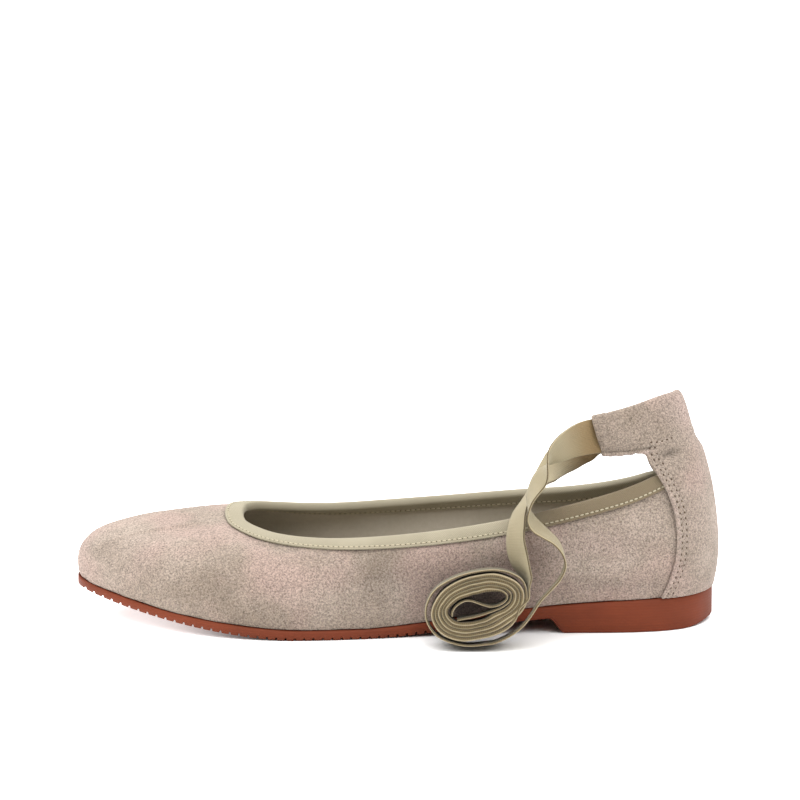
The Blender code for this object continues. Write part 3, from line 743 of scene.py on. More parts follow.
@dataclass(frozen=True)
class Woven:
    """Woven elastic: fine ribs on its faces, paler rolled edges where a piece has them, and painted shade."""

    name: str
    colour: Colour
    dark: Colour
    weave: Weave
    pitch: float = 0.0007
    edge: Colour | None = None
    # The olive band and the dark line on the narrow sides within the roll: painted shade of the tape's faces
    # in the gaps between layers.
    side_shade: Colour = (0.26, 0.21, 0.11)
    seam: Colour = (0.041, 0.028, 0.013)
    # Painted shade: near the casing's mouths on the ribbon, toward the heel on the binding's outer side.
    shade: Colour = (0.172, 0.112, 0.048)
    middle: float = 0.5
    mouth: float = 0.060
    wound: float = 1.0
    rolled_from: float = 1.0

    def material(self) -> bpy.types.Material:
        """Builds the material."""
        recipe = Recipe(self.name)
        along, across = recipe.chart()
        turn = 2 * math.pi / self.pitch
        cloud = recipe.noise(70.0, 2.0, 0.5).step(0.3, 0.7)
        fuzz = recipe.noise(2600.0, 2.0, 0.6)
        if self.weave is Weave.DIAGONAL:
            ribs = ((along * 0.8 + across) * turn).sine()
            picks = ((along - across * 0.6) * turn * 1.3).sine()
        else:
            ribs = (across * (2 * math.pi * 72)).sine()
            picks = (along * turn).sine()
        thread = ribs * 0.5 + picks * 0.35 + fuzz * 0.5
        colour = recipe.blend(cloud * 0.5 + fuzz * 0.5, self.dark, self.colour)
        colour = recipe.bright(colour, 0.93 + thread * 0.12)
        if self.edge is not None:
            colour = self.rolled(recipe, colour, along, across)
        else:
            x, y, _ = recipe.axes()
            # Painted shade: the binding's outer side is painted darker toward the heel, where the casing
            # shades it.
            colour = recipe.blend(x.step(0.032, 0.064) * (1.0 - y.step(-0.022, -0.004)), colour, self.shade)
        recipe.relief(thread, 0.00007, 0.9)
        return recipe.finish({
            "Base Color": colour, "Roughness": 0.72, "Specular IOR Level": 0.25,
            "Sheen Weight": 0.15, "Sheen Roughness": 0.4, "Sheen Tint": (1.0, 0.96, 0.86),
        })

    def rolled(self, recipe: Recipe, colour: object, along: Term, across: Term) -> bpy.types.NodeSocket:
        """Paints the tape's two narrow sides, and painted shade on its faces.

        Within the roll each side is olive, painted shade for the tape's faces seen in the gaps between
        layers, with a pale line along each border and a dark line of painted shade; on the free runs the
        sides take the pale edge colour. The faces are painted darker, as painted shade, near the casing's
        mouths and within the roll.

        Args:
            recipe: The material in the making.
            colour: The colour of the tape's faces.
            along: The pattern coordinate along the tape, in metres.
            across: The one round it, from 0 to 1 once round. The narrow sides run from 0.25 to 0.5 and
                from 0.75 on.

        Returns:
            The colour with the sides painted.
        """
        half = recipe.maths("FRACT", across * 2.0)
        turned = along.step(self.middle - 0.001, self.middle + 0.001)
        place = half + turned * (1.5 - half * 2.0)
        side = half.step(0.50, 0.54) * (1.0 - half.step(0.96, 1.0))
        braid = (along * (2 * math.pi / 0.0008) + place * 6.0).sine() * 0.5 + 0.5
        # The olive band is painted shade, with a braid on it.
        band = recipe.bright(self.side_shade, 0.8 + braid * 0.45)
        pale = 1.0 - place.step(0.68, 0.74)
        painted = recipe.blend(pale, band, self.edge)
        # A dark line of painted shade along each side's far border.
        painted = recipe.blend(place.step(0.88, 0.94), painted, self.seam)
        rolled = (along - self.middle).size().step(self.rolled_from - 0.01, self.rolled_from + 0.01)
        painted = recipe.blend(rolled, self.edge, painted)
        # Painted shade: the faces are painted darker brown near the casing's mouths.
        mouth_shade = 1.0 - ((along - self.middle).size()).step(self.mouth + 0.003, self.mouth + 0.024)
        colour = recipe.blend(mouth_shade * 0.92, colour, self.shade)
        # Painted shade: the faces are darkened within the roll's inner turns, where the layers shade each
        # other.
        inside = (along - self.middle).size().step(self.wound - 0.02, self.wound + 0.02)
        colour = recipe.bright(colour, 1.0 - inside * 0.6)
        return recipe.blend(side, colour, painted)


@dataclass(frozen=True)
class Thread:
    """Sewing thread, or a dark spot of painted shade for a needle hole: one plain colour with a faint twist.
    """

    name: str
    colour: Colour
    roughness: float = 0.6

    def material(self) -> bpy.types.Material:
        """Builds the material."""
        recipe = Recipe(self.name)
        twist = recipe.noise(2500.0, 1.0, 0.5)
        colour = recipe.bright(self.colour, 0.8 + twist * 0.4)
        return recipe.finish({"Base Color": colour, "Roughness": self.roughness, "Specular IOR Level": 0.3})


NEAR_TAIL = (
    (584.0, 438.5, -21.0, -0.28, 0.90, -0.33),
    (571.0, 443.5, -26.5, -0.22, 0.79, -0.57),
    (560.0, 450.0, -31.5, -0.25, 0.62, -0.74),
    (552.0, 457.0, -35.0, -0.22, 0.35, -0.91),
    (547.3, 464.0, -36.8, -0.02, 0.08, -0.995),
    (544.3, 471.2, -37.8, 0.20, -0.17, -0.965),
    (540.7, 479.3, -38.6, 0.31, -0.27, -0.91),
    (534.1, 490.0, -39.6, 0.217, -0.247, -0.944),
    (529.4, 500.4, -41.0, 0.12, -0.18, -0.976),
    (528.5, 509.5, -41.4, 0.00, -0.12, -0.99),
    (530.6, 518.0, -41.8, -0.20, -0.10, -0.97),
    (535.6, 526.3, -42.2, -0.30, -0.156, -0.94),
    (546.7, 535.4, -43.2, -0.253, -0.117, -0.96),
    (556.5, 543.3, -44.2, -0.15, -0.06, -0.985),
    (563.4, 554.5, -45.4, -0.03, -0.04, -1.0),
    (565.5, 566.0, -46.0, 0.0, -0.03, -1.0),
    (561.5, 576.5, -46.6, 0.0, -0.03, -1.0),
    (550.5, 589.5, -47.0, 0.0, 0.0, -1.0),
    (540.0, 601.5, -47.3, 0.0, 0.0, -1.0),
    (532.6, 612.4, -47.5, 0.0, 0.0, -1.0),
    (523.8, 624.0, -47.6, 0.0, 0.0, -1.0),
)
FAR_TAIL = (
    (585.0, 445.0, 9.0, -0.25, 0.95, 0.05),
    (572.0, 452.3, 2.0, -0.24, 0.94, 0.18),
    (559.5, 459.8, -7.0, -0.26, 0.88, 0.40),
    (552.0, 466.0, -12.5, -0.34, 0.70, 0.62),
    (548.0, 471.7, -16.5, -0.37, 0.52, 0.77),
    (541.2, 479.1, -20.0, -0.29, 0.288, 0.913),
    (534.5, 490.3, -23.5, -0.226, 0.184, 0.957),
    (526.0, 501.8, -27.2, -0.17, 0.07, 0.983),
    (519.9, 513.3, -33.0, -0.305, 0.042, 0.951),
    (516.6, 526.3, -38.6, -0.418, 0.014, 0.908),
    (515.4, 540.5, -41.8, -0.475, -0.03, 0.88),
    (517.3, 553.5, -43.4, -0.508, -0.056, 0.86),
    (521.7, 567.0, -44.5, -0.44, -0.03, 0.895),
    (527.2, 579.5, -44.8, -0.22, 0.02, 0.975),
)
# The ribbon's two free runs, from the casing's mouths to the roll, read one by one: place in the photo in
# pixels, y in millimetres, and the way that the ribbon's width points, to the right, up and away.
"""The ribbon's two free runs, from the casing's mouths to the roll, read by hand: place in the photo in
pixels, y in millimetres, and the way that the ribbon's width points, to the right, up and away."""

ROLL_SHAPE = (
    (0, 19.6, 18.9, 10.8),
    (28, 18.9, 15.8, 6.9),
    (59, 15.7, 13.4, 5.9),
    (90, 15.65, 13.15, 5.9),
    (120, 17.3, 15.6, 7.6),
    (150, 20.2, 18.2, 11.0),
    (167, 20.6, 18.3, 11.6),
    (190, 18.8, 15.9, 8.3),
    (223, 14.6, 12.6, 4.8),
    (250, 13.1, 11.5, 4.2),
    (277, 13.6, 12.0, 4.3),
    (300, 15.8, 14.1, 5.8),
    (317, 18.2, 16.0, 7.7),
    (332, 20.05, 17.9, 10.3),
    (344, 19.7, 18.6, 11.2),
    (352, 19.2, 18.1, 10.2),
    (360, 18.6, 17.4, 8.6),
)
"""The roll seen on its face, in degrees from the right by the bottom: how far out its loose outer loop,
its packed turns and its core reach, in millimetres."""


NEAR_LEAD = ((512.6, 635.4), (504.0, 640.0), (495.0, 643.7))
NEAR_CORE = ((503.8, 607.3), (494.7, 611.3), (483.8, 615.1), (475.8, 617.4), (465.6, 619.4), (457.6, 620.9))
FAR_LEAD = ((529.6, 588.5), (529.9, 598.0))
FAR_CORE = (
    (503.0, 603.9), (498.0, 606.4), (491.1, 607.3), (484.5, 605.8), (478.0, 603.4), (468.5, 601.0),
    (462.7, 602.4), (457.6, 605.6), (453.6, 610.2), (451.9, 614.6), (452.6, 618.4),
)
"""Where the ribbon's two ends run before the roll and within its core, in the photo's frame."""


@dataclass
class Upper:
    """Vamp and quarters: the suede wall and the lining inside it."""

    last: LastForm
    suede: Suede
    lining: Smooth
    suede_thickness: float = 0.0010
    tuck: float = 0.00022
    margin: float = 0.0068
    fineness: int = 20
    rows: int = 56
    patches: tuple[Patch, ...] = ()

    def wall_piece(self) -> bpy.types.Object:
        """Builds the suede wall, turned in under the foot."""
        last = self.last
        around = np.arange(0, last.round_count * self.fineness + 1) / self.fineness
        share = np.linspace(0, 1, self.rows + 1)[:, None]
        share = share**1.15
        outer = last.wall(around[None], share)
        normal = last.normal(around[None], share)
        length = np.linalg.norm(np.diff(outer, axis=0), axis=2).sum(0)
        tucked = self.tuck * np.exp(-(share * length / 0.0011)**2)
        outer = outer - normal * tucked[..., None]
        outer = outer + normal * self.puckers(around, share, length)[..., None]
        inner_share = np.linspace(1, 0, 9)[:, None]
        inner = last.wall(around[None], inner_share)
        inner = inner - last.normal(around[None], inner_share) * self.suede_thickness
        into = -last.outward(last.foot, around)
        foot = last.foot(around)
        inner[-1] = foot + into * (self.suede_thickness + 0.0008)
        inner[-1][:, 2] = foot[:, 2] + self.suede_thickness
        under = foot + into * self.margin
        under[:, 2] = last.top(under[:, 0]) + last.fit_gap
        over = under + np.array([0, 0, self.suede_thickness])
        near = foot + into * (self.tuck + 0.0006)
        near[:, 2] = last.top(near[:, 0]) + last.fit_gap
        rings = np.concatenate([near[None], outer, inner, over[None], under[None], near[None]])
        chart = chart_of(around / last.round_count, np.linspace(0, 1, len(rings)))
        piece = Bench.close(Bench.grid("upper_suede", rings, chart))
        places = Bench.places(piece)
        # Spots painted paler or darker, a painted shadow behind the roll among them.
        tones = sum((patch.tone(places) for patch in self.patches), np.zeros(len(places)))
        Bench.paint(piece, np.clip(tones, -1, 1))
        return piece

    def puckers(self, around: np.ndarray, share: np.ndarray, length: np.ndarray) -> np.ndarray:
        """Soft unevenness of the drawn leather: lasting waves over the sole's edge and a sunk stitch line."""
        up = share * length
        arc = around * 0.0212
        waves = np.sin(arc * 2 * math.pi / 0.0190 + 0.6 * np.sin(arc * 55)) * 0.6
        waves = waves + np.sin(arc * 2 * math.pi / 0.0113 + 1.3) * 0.4
        low = waves * 0.00016 * np.exp(-(up / 0.006)**2)
        edge = -0.00018 * np.exp(-((length - up - 0.0069) / 0.0010)**2)
        swell = 0.00012 * np.exp(-((length - up - 0.0095) / 0.0018)**2)
        slow = 0.00016 * np.sin(arc * 2 * math.pi / 0.047 + up * 60.0) * np.sin(up * 130.0 + arc * 20.0)
        return low + edge + swell + slow

    def lining_piece(self) -> bpy.types.Object:
        """Builds the lining, a thin skin inside the suede."""
        last = self.last
        around = np.arange(0, last.round_count * 10 + 1) / 10
        share = np.linspace(0.045, 0.985, 26)[:, None]
        face = last.wall(around[None], share)
        normal = last.normal(around[None], share)
        near = face - normal * (self.suede_thickness + 0.00008)
        far = face - normal * (last.upper_wall - 0.00002)
        rings = np.concatenate([near, far[::-1], near[:1]])
        chart = chart_of(around / last.round_count, np.linspace(0, 1, len(rings)))
        return Bench.close(Bench.grid("upper_lining", rings, chart))

    def build(self) -> list[bpy.types.Object]:
        """Builds and dresses both pieces.

        Returns:
            The pieces.
        """
        wall, lining = self.wall_piece(), self.lining_piece()
        wall.data.materials.append(self.suede.material())
        lining.data.materials.append(self.lining.material())
        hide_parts("upper")
        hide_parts("upper")
        return [wall, lining]


@dataclass
class Stitching:
    """A row of short raised stitches, all copies of one."""

    name: str
    thread: Thread
    pitch: float = 0.0020
    length: float = 0.0015
    width: float = 0.00062
    height: float = 0.00046

    def one(self) -> tuple[np.ndarray, list[tuple[int, ...]]]:
        """Models one stitch and gives its points and faces."""
        Bench.only(None)
        bpy.ops.mesh.primitive_uv_sphere_add(segments=8, ring_count=6, radius=0.5)
        pattern = bpy.context.active_object
        bpy.ops.object.mode_set(mode="EDIT")
        bpy.ops.mesh.select_all(action="SELECT")
        bpy.ops.transform.rotate(value=math.pi / 2, orient_axis="Y", center_override=(0, 0, 0))
        bpy.ops.transform.resize(value=(self.length, self.width, self.height))
        bpy.ops.object.mode_set(mode="OBJECT")
        places = Bench.places(pattern)
        faces = [tuple(face.vertices) for face in pattern.data.polygons]
        mesh = pattern.data
        bpy.data.objects.remove(pattern)
        bpy.data.meshes.remove(mesh)
        return places, faces

    def along(self, lines: list[np.ndarray], seat: bpy.types.Object, lift: float = 0.0) -> bpy.types.Object:
        """Sews rows of stitches.

        Args:
            lines: Lines of points that the rows follow.
            seat: The piece that they are sewn into, on whose face each stitch is laid.
            lift: How far the middle of a stitch stands over that face.

        Returns:
            All the stitches as one piece.
        """
        pattern, faces = self.one()
        points, found = [], []
        for line in lines:
            far = line_length(line)
            at = np.arange(self.pitch * 0.5, far[-1] - self.pitch * 0.3, self.pitch)
            spots, ahead = on_line(at, far, line), on_line(at + 0.0003, far, line)
            for spot, tip in zip(spots, ahead):
                _, place, normal, _ = seat.closest_point_on_mesh(Vector(spot))
                out = np.array(normal)
                way = tip - spot
                way = unit(way - out * (way @ out))
                side = np.cross(out, way)
                turned = pattern @ np.array([way, side, out])
                faces_from = len(points) * len(pattern)
                points.append(turned + np.array(place) + out * lift)
                found.extend(tuple(v + faces_from for v in face) for face in faces)
        piece = Bench.from_faces(self.name, np.concatenate(points), found)
        Bench.only(piece)
        bpy.ops.object.shade_smooth()
        piece.data.materials.append(self.thread.material())
        return piece


@dataclass
class Binding:
    """Elastic strip folded over the topline and sewn down on both faces with one row of stitches."""

    last: LastForm
    woven: Woven
    thread: Thread
    hole: Thread
    width: float = 0.0060
    thickness: float = 0.0007
    start: float = 2.08
    sewn_up: float = 0.0012

    def around(self, step: float) -> np.ndarray:
        """Places along the strip."""
        count = int((self.last.round_count - 2 * self.start) / step)
        return np.linspace(self.start, self.last.round_count - self.start, count)

    def lengths(self, around: np.ndarray) -> np.ndarray:
        """Length of one whole share of the wall's height near the topline."""
        return np.linalg.norm(self.last.wall(around, 1.0) - self.last.wall(around, 0.9), axis=1) / 0.1

    def leg(self, around: np.ndarray, down: float, depth: float) -> np.ndarray:
        """Points of the strip's leg.

        Args:
            around: Places along the strip.
            down: How far below the topline.
            depth: How far out of the upper's face.

        Returns:
            The points.
        """
        share = 1 - down / self.lengths(around)
        return self.last.wall(around, share) + self.last.normal(around, share) * depth

    def build(self) -> list[bpy.types.Object]:
        """Builds the strip and its two rows of stitches.

        Returns:
            The pieces.
        """
        last, around = self.last, self.around(0.045)
        near, wall = last.fit_gap, last.upper_wall
        arc = line_length(last.rim(around))
        end = np.minimum(arc, arc[-1] - arc)
        far = (last.fit_gap + self.thickness - 0.0004 * (1 - smooth_step((end - 0.0035) / 0.003)))[:, None]
        pull = 0.00016 * (0.75 + 0.25 * np.cos(arc * 2 * math.pi / 0.0020))[:, None]
        rise = unit(last.wall(around, 1.0) - last.wall(around, 0.97))
        normal, top = last.normal(around, 1.0), last.wall(around, 1.0)
        downs = (1.0, 0.985, 0.94, 0.88, 0.82, 0.76, 0.6, 0.4, 0.2, 0.04)
        out, back = [], []
        for share in downs:
            down = share * self.width
            sunk = np.exp(-((self.width - down - self.sewn_up) / 0.0006)**2) * pull
            edge = 0.0002 if share > 0.99 else 0.0
            bulge = 0.00008 * math.sin(math.pi * min(share / 0.8, 1.0))
            share_normal = last.normal(around, 1 - down / self.lengths(around))
            face = self.leg(around, down, 0.0)
            out.append(face + share_normal * (far + bulge - edge - sunk))
            back.append(face - share_normal * (wall + far + bulge - edge - sunk))
        crown = []
        middle = -wall / 2
        half = far - middle
        for turn in np.linspace(0.16, 0.84, 7) * math.pi:
            crown.append(top + normal * (middle + half * math.cos(turn)) + rise * (far * math.sin(turn)))
        low_out, low_back = self.leg(around, self.width, near), self.leg(around, self.width, -(wall + near))
        high_out, high_back = top + normal * near + rise * near, top - normal * (wall + near) + rise * near
        rings = np.stack([low_out, *out, *crown, *back[::-1], low_back, high_back, high_out, low_out])
        across = np.concatenate([[0.0], np.cumsum(np.linalg.norm(np.diff(rings, axis=0), axis=2).mean(1))])
        chart = chart_of(arc, across)
        strip = Bench.close(Bench.grid("binding", rings, chart), fill=True)
        strip.data.materials.append(self.woven.material())
        sewn = self.around(0.08)[1:-1]
        down = self.width - self.sewn_up
        depths = (near + self.thickness, -(wall + near + self.thickness))
        lines = [self.leg(sewn, down, depth) for depth in depths]
        stitches = Stitching("binding_stitches", self.thread).along(lines, strip, 0.00005)
        # Painted shade: dark spots at the needle holes next to the stitches.
        pricks = Stitching("binding_prick_shades", self.hole, 0.0020, 0.00060, 0.00050, 0.00012)
        pricked = pricks.along([HeelPanel.later(line, 0.0010) for line in lines], strip, 0.0)
        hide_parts("topline_binding")
        return [strip, stitches, pricked]


@dataclass
class HeelPanel:
    """Suede back strip whose top is the ankle casing, with its needle holes and its creases."""

    last: LastForm
    suede: Suede
    thread: Thread
    hole: Thread
    panel_thickness: float = 0.0013
    casing_thickness: float = 0.0057
    casing_wall: float = 0.0011
    steps: int = 2
    first: int = 4
    end: int = 16
    rise_rows: int = 4
    edge: tuple[tuple[float, float], ...] = (
        (0.00, 2.35), (0.18, 2.10), (0.40, 1.98), (0.65, 2.02), (0.85, 2.18), (1.00, 2.35),
    )
    section: tuple[tuple[float, float, float, float], ...] = (
        (0.00, 0.36, 1.20, 0.29), (0.05, 0.42, 1.22, 0.29), (0.10, 0.42, 1.20, 0.30),
        (0.15, 0.32, 1.12, 0.60), (0.20, 0.64, 1.12, 0.86), (0.28, 0.88, 1.10, 0.98),
        (0.45, 1.00, 1.06, 1.00), (0.70, 0.97, 0.99, 0.90), (0.90, 0.74, 0.77, 0.68),
        (1.00, 0.42, 0.44, 0.42),
    )
    insets: tuple[float, float] = (0.0021, 0.0042)
    stitch_pitch: float = 0.00235
    creases: tuple[Crease, ...] = ()
    patches: tuple[Patch, ...] = ()

    def reach(self, share: np.ndarray) -> np.ndarray:
        """Half width of the strip in meridians, at shares of the wall's way up."""
        table = np.array(self.edge)
        return through(np.asarray(share, float), table[:, 0], table[:, 1])

    def frame(self) -> tuple[np.ndarray, np.ndarray, np.ndarray, np.ndarray]:
        """The casing's seam line, its upward and outward directions and its height, from mouth to mouth."""
        last, table = self.last, np.array(CASING, float)
        at = np.arange(0, (len(table) - 1) * self.steps + 1) / self.steps
        padded = np.concatenate([[2 * table[0] - table[1]], table, [2 * table[-1] - table[-2]]])
        k = np.minimum(np.floor(at).astype(int), len(table) - 2)
        t = (at - k)[:, None]
        a, b, c, d = padded[k], padded[k + 1], padded[k + 2], padded[k + 3]
        rows = spline(a, b, c, d, t)
        seam = last.at(rows[:, 0], rows[:, 1], rows[:, 2])
        along = np.gradient(seam, axis=0)
        out = unit(np.stack([along[:, 1], -along[:, 0], np.zeros(len(along))], -1))
        lean, pitch = np.radians(rows[:, 4])[:, None], np.radians(rows[:, 5])[:, None]
        high = np.array([0.0, 0.0, 1.0])
        up = unit(high * np.cos(lean) - out * np.sin(lean) + np.sin(pitch) * np.array([-1.0, 0.0, 0.0]))
        return seam, up, out * np.cos(lean) + high * np.sin(lean), rows[:, 3:4] * last.instep_height

    def strip_rows(self, skin: np.ndarray, up: np.ndarray) -> list[tuple[np.ndarray, np.ndarray]]:
        """Outer and inner points of the strip, row by row from the sole up to the casing."""
        last = self.last
        columns = np.arange(self.first, self.end + 1)
        spread = np.linspace(1, -1, len(columns))
        spread = np.sign(spread) * np.abs(spread)**0.85
        rows = []
        for share in (0.0, 0.02, 0.12, 0.26, 0.42, 0.58, 0.72, 0.86, 1.0):
            around = spread * self.reach(share)
            normal, base = last.normal(around, share), last.wall(around, share)
            proud = 0.0014 * float(smooth_step((share - 0.42) / 0.44))
            depth = last.fit_gap + self.panel_thickness + proud
            rows.append((base + normal * depth, base + normal * last.fit_gap))
        high_out, high_in = skin[columns, 0], skin[columns, -1]
        start_out, start_in = rows[-1]
        tangent = unit(rows[-1][0] - rows[-2][0])
        gap = np.linalg.norm(high_out - start_out, axis=1, keepdims=True)
        for step in range(1, self.rise_rows + 1):
            t = step / (self.rise_rows + 1)
            out = ((2 * t**3 - 3 * t**2 + 1) * start_out + (t**3 - 2 * t**2 + t) * gap * tangent
                   + (3 * t**2 - 2 * t**3) * high_out + (t**3 - t**2) * gap * up[columns])
            depth = self.panel_thickness + (0.0022 - self.panel_thickness) * smooth_step((t - 0.2) / 0.8)
            into = unit(start_in - start_out) * (1 - t) + unit(high_in - high_out) * t
            rows.append((out, out + unit(into) * depth))
        return rows

    def cage(self) -> bpy.types.Object:
        """Builds the coarse quads of strip, casing and tunnel, with the casing's chart."""
        seam, up, face, tall = self.frame()
        count, half = len(seam), self.casing_thickness / 2
        column = np.arange(count)
        back = smooth_step(np.minimum(column - self.first + 1.2, self.end + 1.2 - column) / 2.6)[:, None]
        bottom = seam + up * self.casing_wall
        height, thick = tall - 2 * self.casing_wall, half - self.casing_wall
        outer = [seam + up * tall * h + face * (half * (d * (1 - back) + b * back) - half)
                 for h, d, b, _ in self.section]
        inner = [seam + up * tall * h - face * (half * d + half) for h, d, _, _ in self.section]
        skin = np.stack(outer + inner[::-1], 1)
        high = np.linspace(0.0, 1.0, len(self.section))
        hollow = [(h, row[3]) for h, row in zip(high, self.section)]
        outer = [bottom + up * height * h + face * (thick * t - half) for h, t in hollow]
        inner = [bottom + up * height * h - face * (thick * t + half) for h, t in hollow]
        tunnel = np.stack(outer + inner[::-1], 1)
        size = skin.shape[1]
        points = list(skin.reshape(-1, 3)) + list(tunnel.reshape(-1, 3))
        faces: list[tuple[int, ...]] = []
        shift = count * size
        for i in range(count - 1):
            for k in range(size):
                nxt = (k + 1) % size
                a, b, c, d = i * size + k, i * size + nxt, (i + 1) * size + nxt, (i + 1) * size + k
                if not (k == size - 1 and self.first <= i < self.end):
                    faces.append((a, b, c, d))
                faces.append((a + shift, d + shift, c + shift, b + shift))
        for end in (0, (count - 1) * size):
            for k in range(size):
                nxt = (k + 1) % size
                faces.append((end + k, end + nxt, end + nxt + shift, end + k + shift))
        rows = self.strip_rows(skin, up)
        base, wide = len(points), self.end - self.first + 1
        for out, into in rows:
            points.extend(out)
            points.extend(into)

        def at(row: int, side: int, i: int) -> int:
            """Number of a point of the strip, or of the casing's seam above its last row."""
            if row == len(rows):
                return (self.first + i) * size + (0 if side == 0 else size - 1)
            return base + (row * 2 + side) * wide + i

        for row in range(len(rows)):
            for i in range(wide - 1):
                faces.append((at(row, 0, i), at(row, 0, i + 1), at(row + 1, 0, i + 1), at(row + 1, 0, i)))
                faces.append((at(row, 1, i), at(row + 1, 1, i), at(row + 1, 1, i + 1), at(row, 1, i + 1)))
            for i in (0, wide - 1):
                faces.append((at(row, 0, i), at(row + 1, 0, i), at(row + 1, 1, i), at(row, 1, i)))
        for i in range(wide - 1):
            faces.append((at(0, 0, i), at(0, 1, i), at(0, 1, i + 1), at(0, 0, i + 1)))
        self.outer_rows = np.array([out for out, _ in rows] + [skin[self.first:self.end + 1, 0]])
        self.seam_line = seam - face * 0.0012 + up * 0.0032
        self.face = face
        return Bench.close(Bench.from_faces("heel_panel_suede", np.array(points), faces))

    def build(self) -> list[bpy.types.Object]:
        """Builds and dresses the strip, its needle holes and its thread.

        Returns:
            The pieces.
        """
        panel = self.cage()
        Bench.subdivide(panel, 3)
        places, normals = Bench.places(panel), Bench.normals(panel)
        self.creases = tuple(crease.seated(panel) for crease in self.creases)
        lift = sum((crease.raise_by(places) for crease in self.creases), np.zeros(len(places)))
        places = places + normals * lift[:, None]
        Bench.put(panel, self.ruffled(places, normals))
        panel.data.materials.append(self.suede.material())
        lines = self.stitch_lines()
        Bench.paint(panel, self.wear_and_shading(places, lines))
        # Painted shade: dark spots at the needle holes along the stitch rows.
        punched = Stitching("heel_panel_hole_shades", self.hole, self.stitch_pitch, 0.00095, 0.00066, 0.00016)
        holes = punched.along(lines, panel, 0.0)
        threads = Stitching("heel_panel_thread", self.thread, self.stitch_pitch, 0.0012, 0.00048, 0.00030)
        sewn = threads.along([self.later(line, self.stitch_pitch / 2) for line in lines], panel, -0.00002)
        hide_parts("heel_panel")
        return [panel, holes, sewn]

    @staticmethod
    def later(line: np.ndarray, by: float) -> np.ndarray:
        """A line that starts a little later."""
        far = line_length(line)
        at = np.linspace(by, far[-1], len(line))
        return on_line(at, far, line)

    def ruffled(self, places: np.ndarray, normals: np.ndarray) -> np.ndarray:
        """Waves the raw edge under the two arms of the casing."""
        seam, up, face, _ = self.frame()
        fine = np.linspace(0, len(seam) - 1, 400)
        known = np.arange(len(seam), dtype=float)
        line = through(fine, known, seam)
        ups, outs = through(fine, known, up), through(fine, known, face)
        moved = places.copy()
        arm = [k for k, at in enumerate(fine) if at < self.first - 0.3 or at > self.end + 0.3]
        far = line_length(line)
        for start in range(0, len(places), CHUNK):
            chunk = places[start:start + CHUNK]
            gap = np.linalg.norm(chunk[:, None] - line[None, arm], axis=2)
            best = np.argmin(gap, axis=1)
            row = np.array(arm)[best]
            off = chunk - line[row]
            high = np.sum(off * ups[row], axis=1)
            near = (gap[np.arange(len(chunk)), best] < 0.006) & (high < 0.0032) & (high > -0.001)
            weight = np.where(near, smooth_step((0.0030 - high) / 0.0026), 0.0)[:, None]
            wave = np.sin(far[row] * 2 * math.pi / 0.0062 + 0.8)[:, None]
            other = np.sin(far[row] * 2 * math.pi / 0.0041)[:, None]
            chunk = chunk + weight * (outs[row] * 0.0003 * wave + ups[row] * 0.00014 * other)
            mouth = np.minimum(far[row], far[-1] - far[row])
            hem = 0.00016 * np.exp(-((mouth - 0.0007) / 0.0006)**2)
            hem = hem - 0.00022 * np.exp(-((mouth - 0.0019) / 0.0005)**2)
            inside = (gap[np.arange(len(chunk)), best] < 0.022) & (high > 0.0)
            lift = np.where(inside, hem, 0.0)[:, None]
            moved[start:start + CHUNK] = chunk + normals[start:start + CHUNK] * lift
        for rim in (self.outer_rows[:, 0], self.outer_rows[:, -1]):
            far = line_length(rim)
            fine = through(np.arange(0.0, far[-1], 0.0005), far, rim)
            for start in range(0, len(places), CHUNK):
                chunk = places[start:start + CHUNK]
                off = np.linalg.norm(chunk[:, None] - fine[None], axis=2).min(1)
                lift = 0.00022 * np.exp(-((off - 0.0008) / 0.0006)**2)
                for row in self.insets:
                    lift = lift - 0.00020 * np.exp(-((off - row) / 0.00045)**2)
                lift = np.where(off < 0.006, lift, 0.0)
                moved[start:start + CHUNK] += normals[start:start + CHUNK] * lift[:, None]
        return moved

    def wear_and_shading(self, places: np.ndarray, lines: list[np.ndarray]) -> np.ndarray:
        """How pale the suede is beyond its own colour on raw edges and as painted highlights, or how dark,
        below zero, as painted shade in folds, dents and stitch rows.

        Args:
            places: The points of the strip.
            lines: The stitch rows.

        Returns:
            One value a point.
        """
        seam, up, _, _ = self.frame()
        fine = np.linspace(0, len(seam) - 1, 300)
        known = np.arange(len(seam), dtype=float)
        low, ups = through(fine, known, seam), through(fine, known, up)
        arm = (fine < self.first - 0.2) | (fine > self.end + 0.2)
        low, ups, far = low[arm], ups[arm], line_length(low)[arm]
        worn_and_shaded = np.zeros(len(places))
        rims = [self.outer_rows[:, 0], self.outer_rows[:, -1]]
        for start in range(0, len(places), CHUNK):
            chunk = places[start:start + CHUNK]
            value = np.zeros(len(chunk))
            gap = np.linalg.norm(chunk[:, None] - low[None], axis=2)
            best = gap.argmin(1)
            high = np.sum((chunk - low[best]) * ups[best], axis=1)
            close = gap[np.arange(len(chunk)), best] < 0.005
            # Along each arm's foot: a pale raw edge, and above it a dark line of painted shade for a groove.
            edge = 0.55 * np.exp(-((high - 0.0002) / 0.0009)**2)
            edge = edge - 0.6 * np.exp(-((high - 0.0019) / 0.00045)**2)
            value += np.where(close, edge, 0.0)
            # Painted shade in the creases' troughs.
            for crease in self.creases:
                value += np.minimum(crease.raise_by(chunk), 0.0) / 0.0012 * 0.5
            # Spots painted paler or darker, among them painted light on the heel's back and painted shade in
            # a dent.
            for patch in self.patches:
                value += patch.tone(chunk)
            # Painted shade along the sunk stitch rows.
            for line in lines:
                off = np.linalg.norm(chunk[:, None] - line[None, ::3], axis=2).min(1)
                value -= 0.34 * np.exp(-(off / 0.0006)**2)
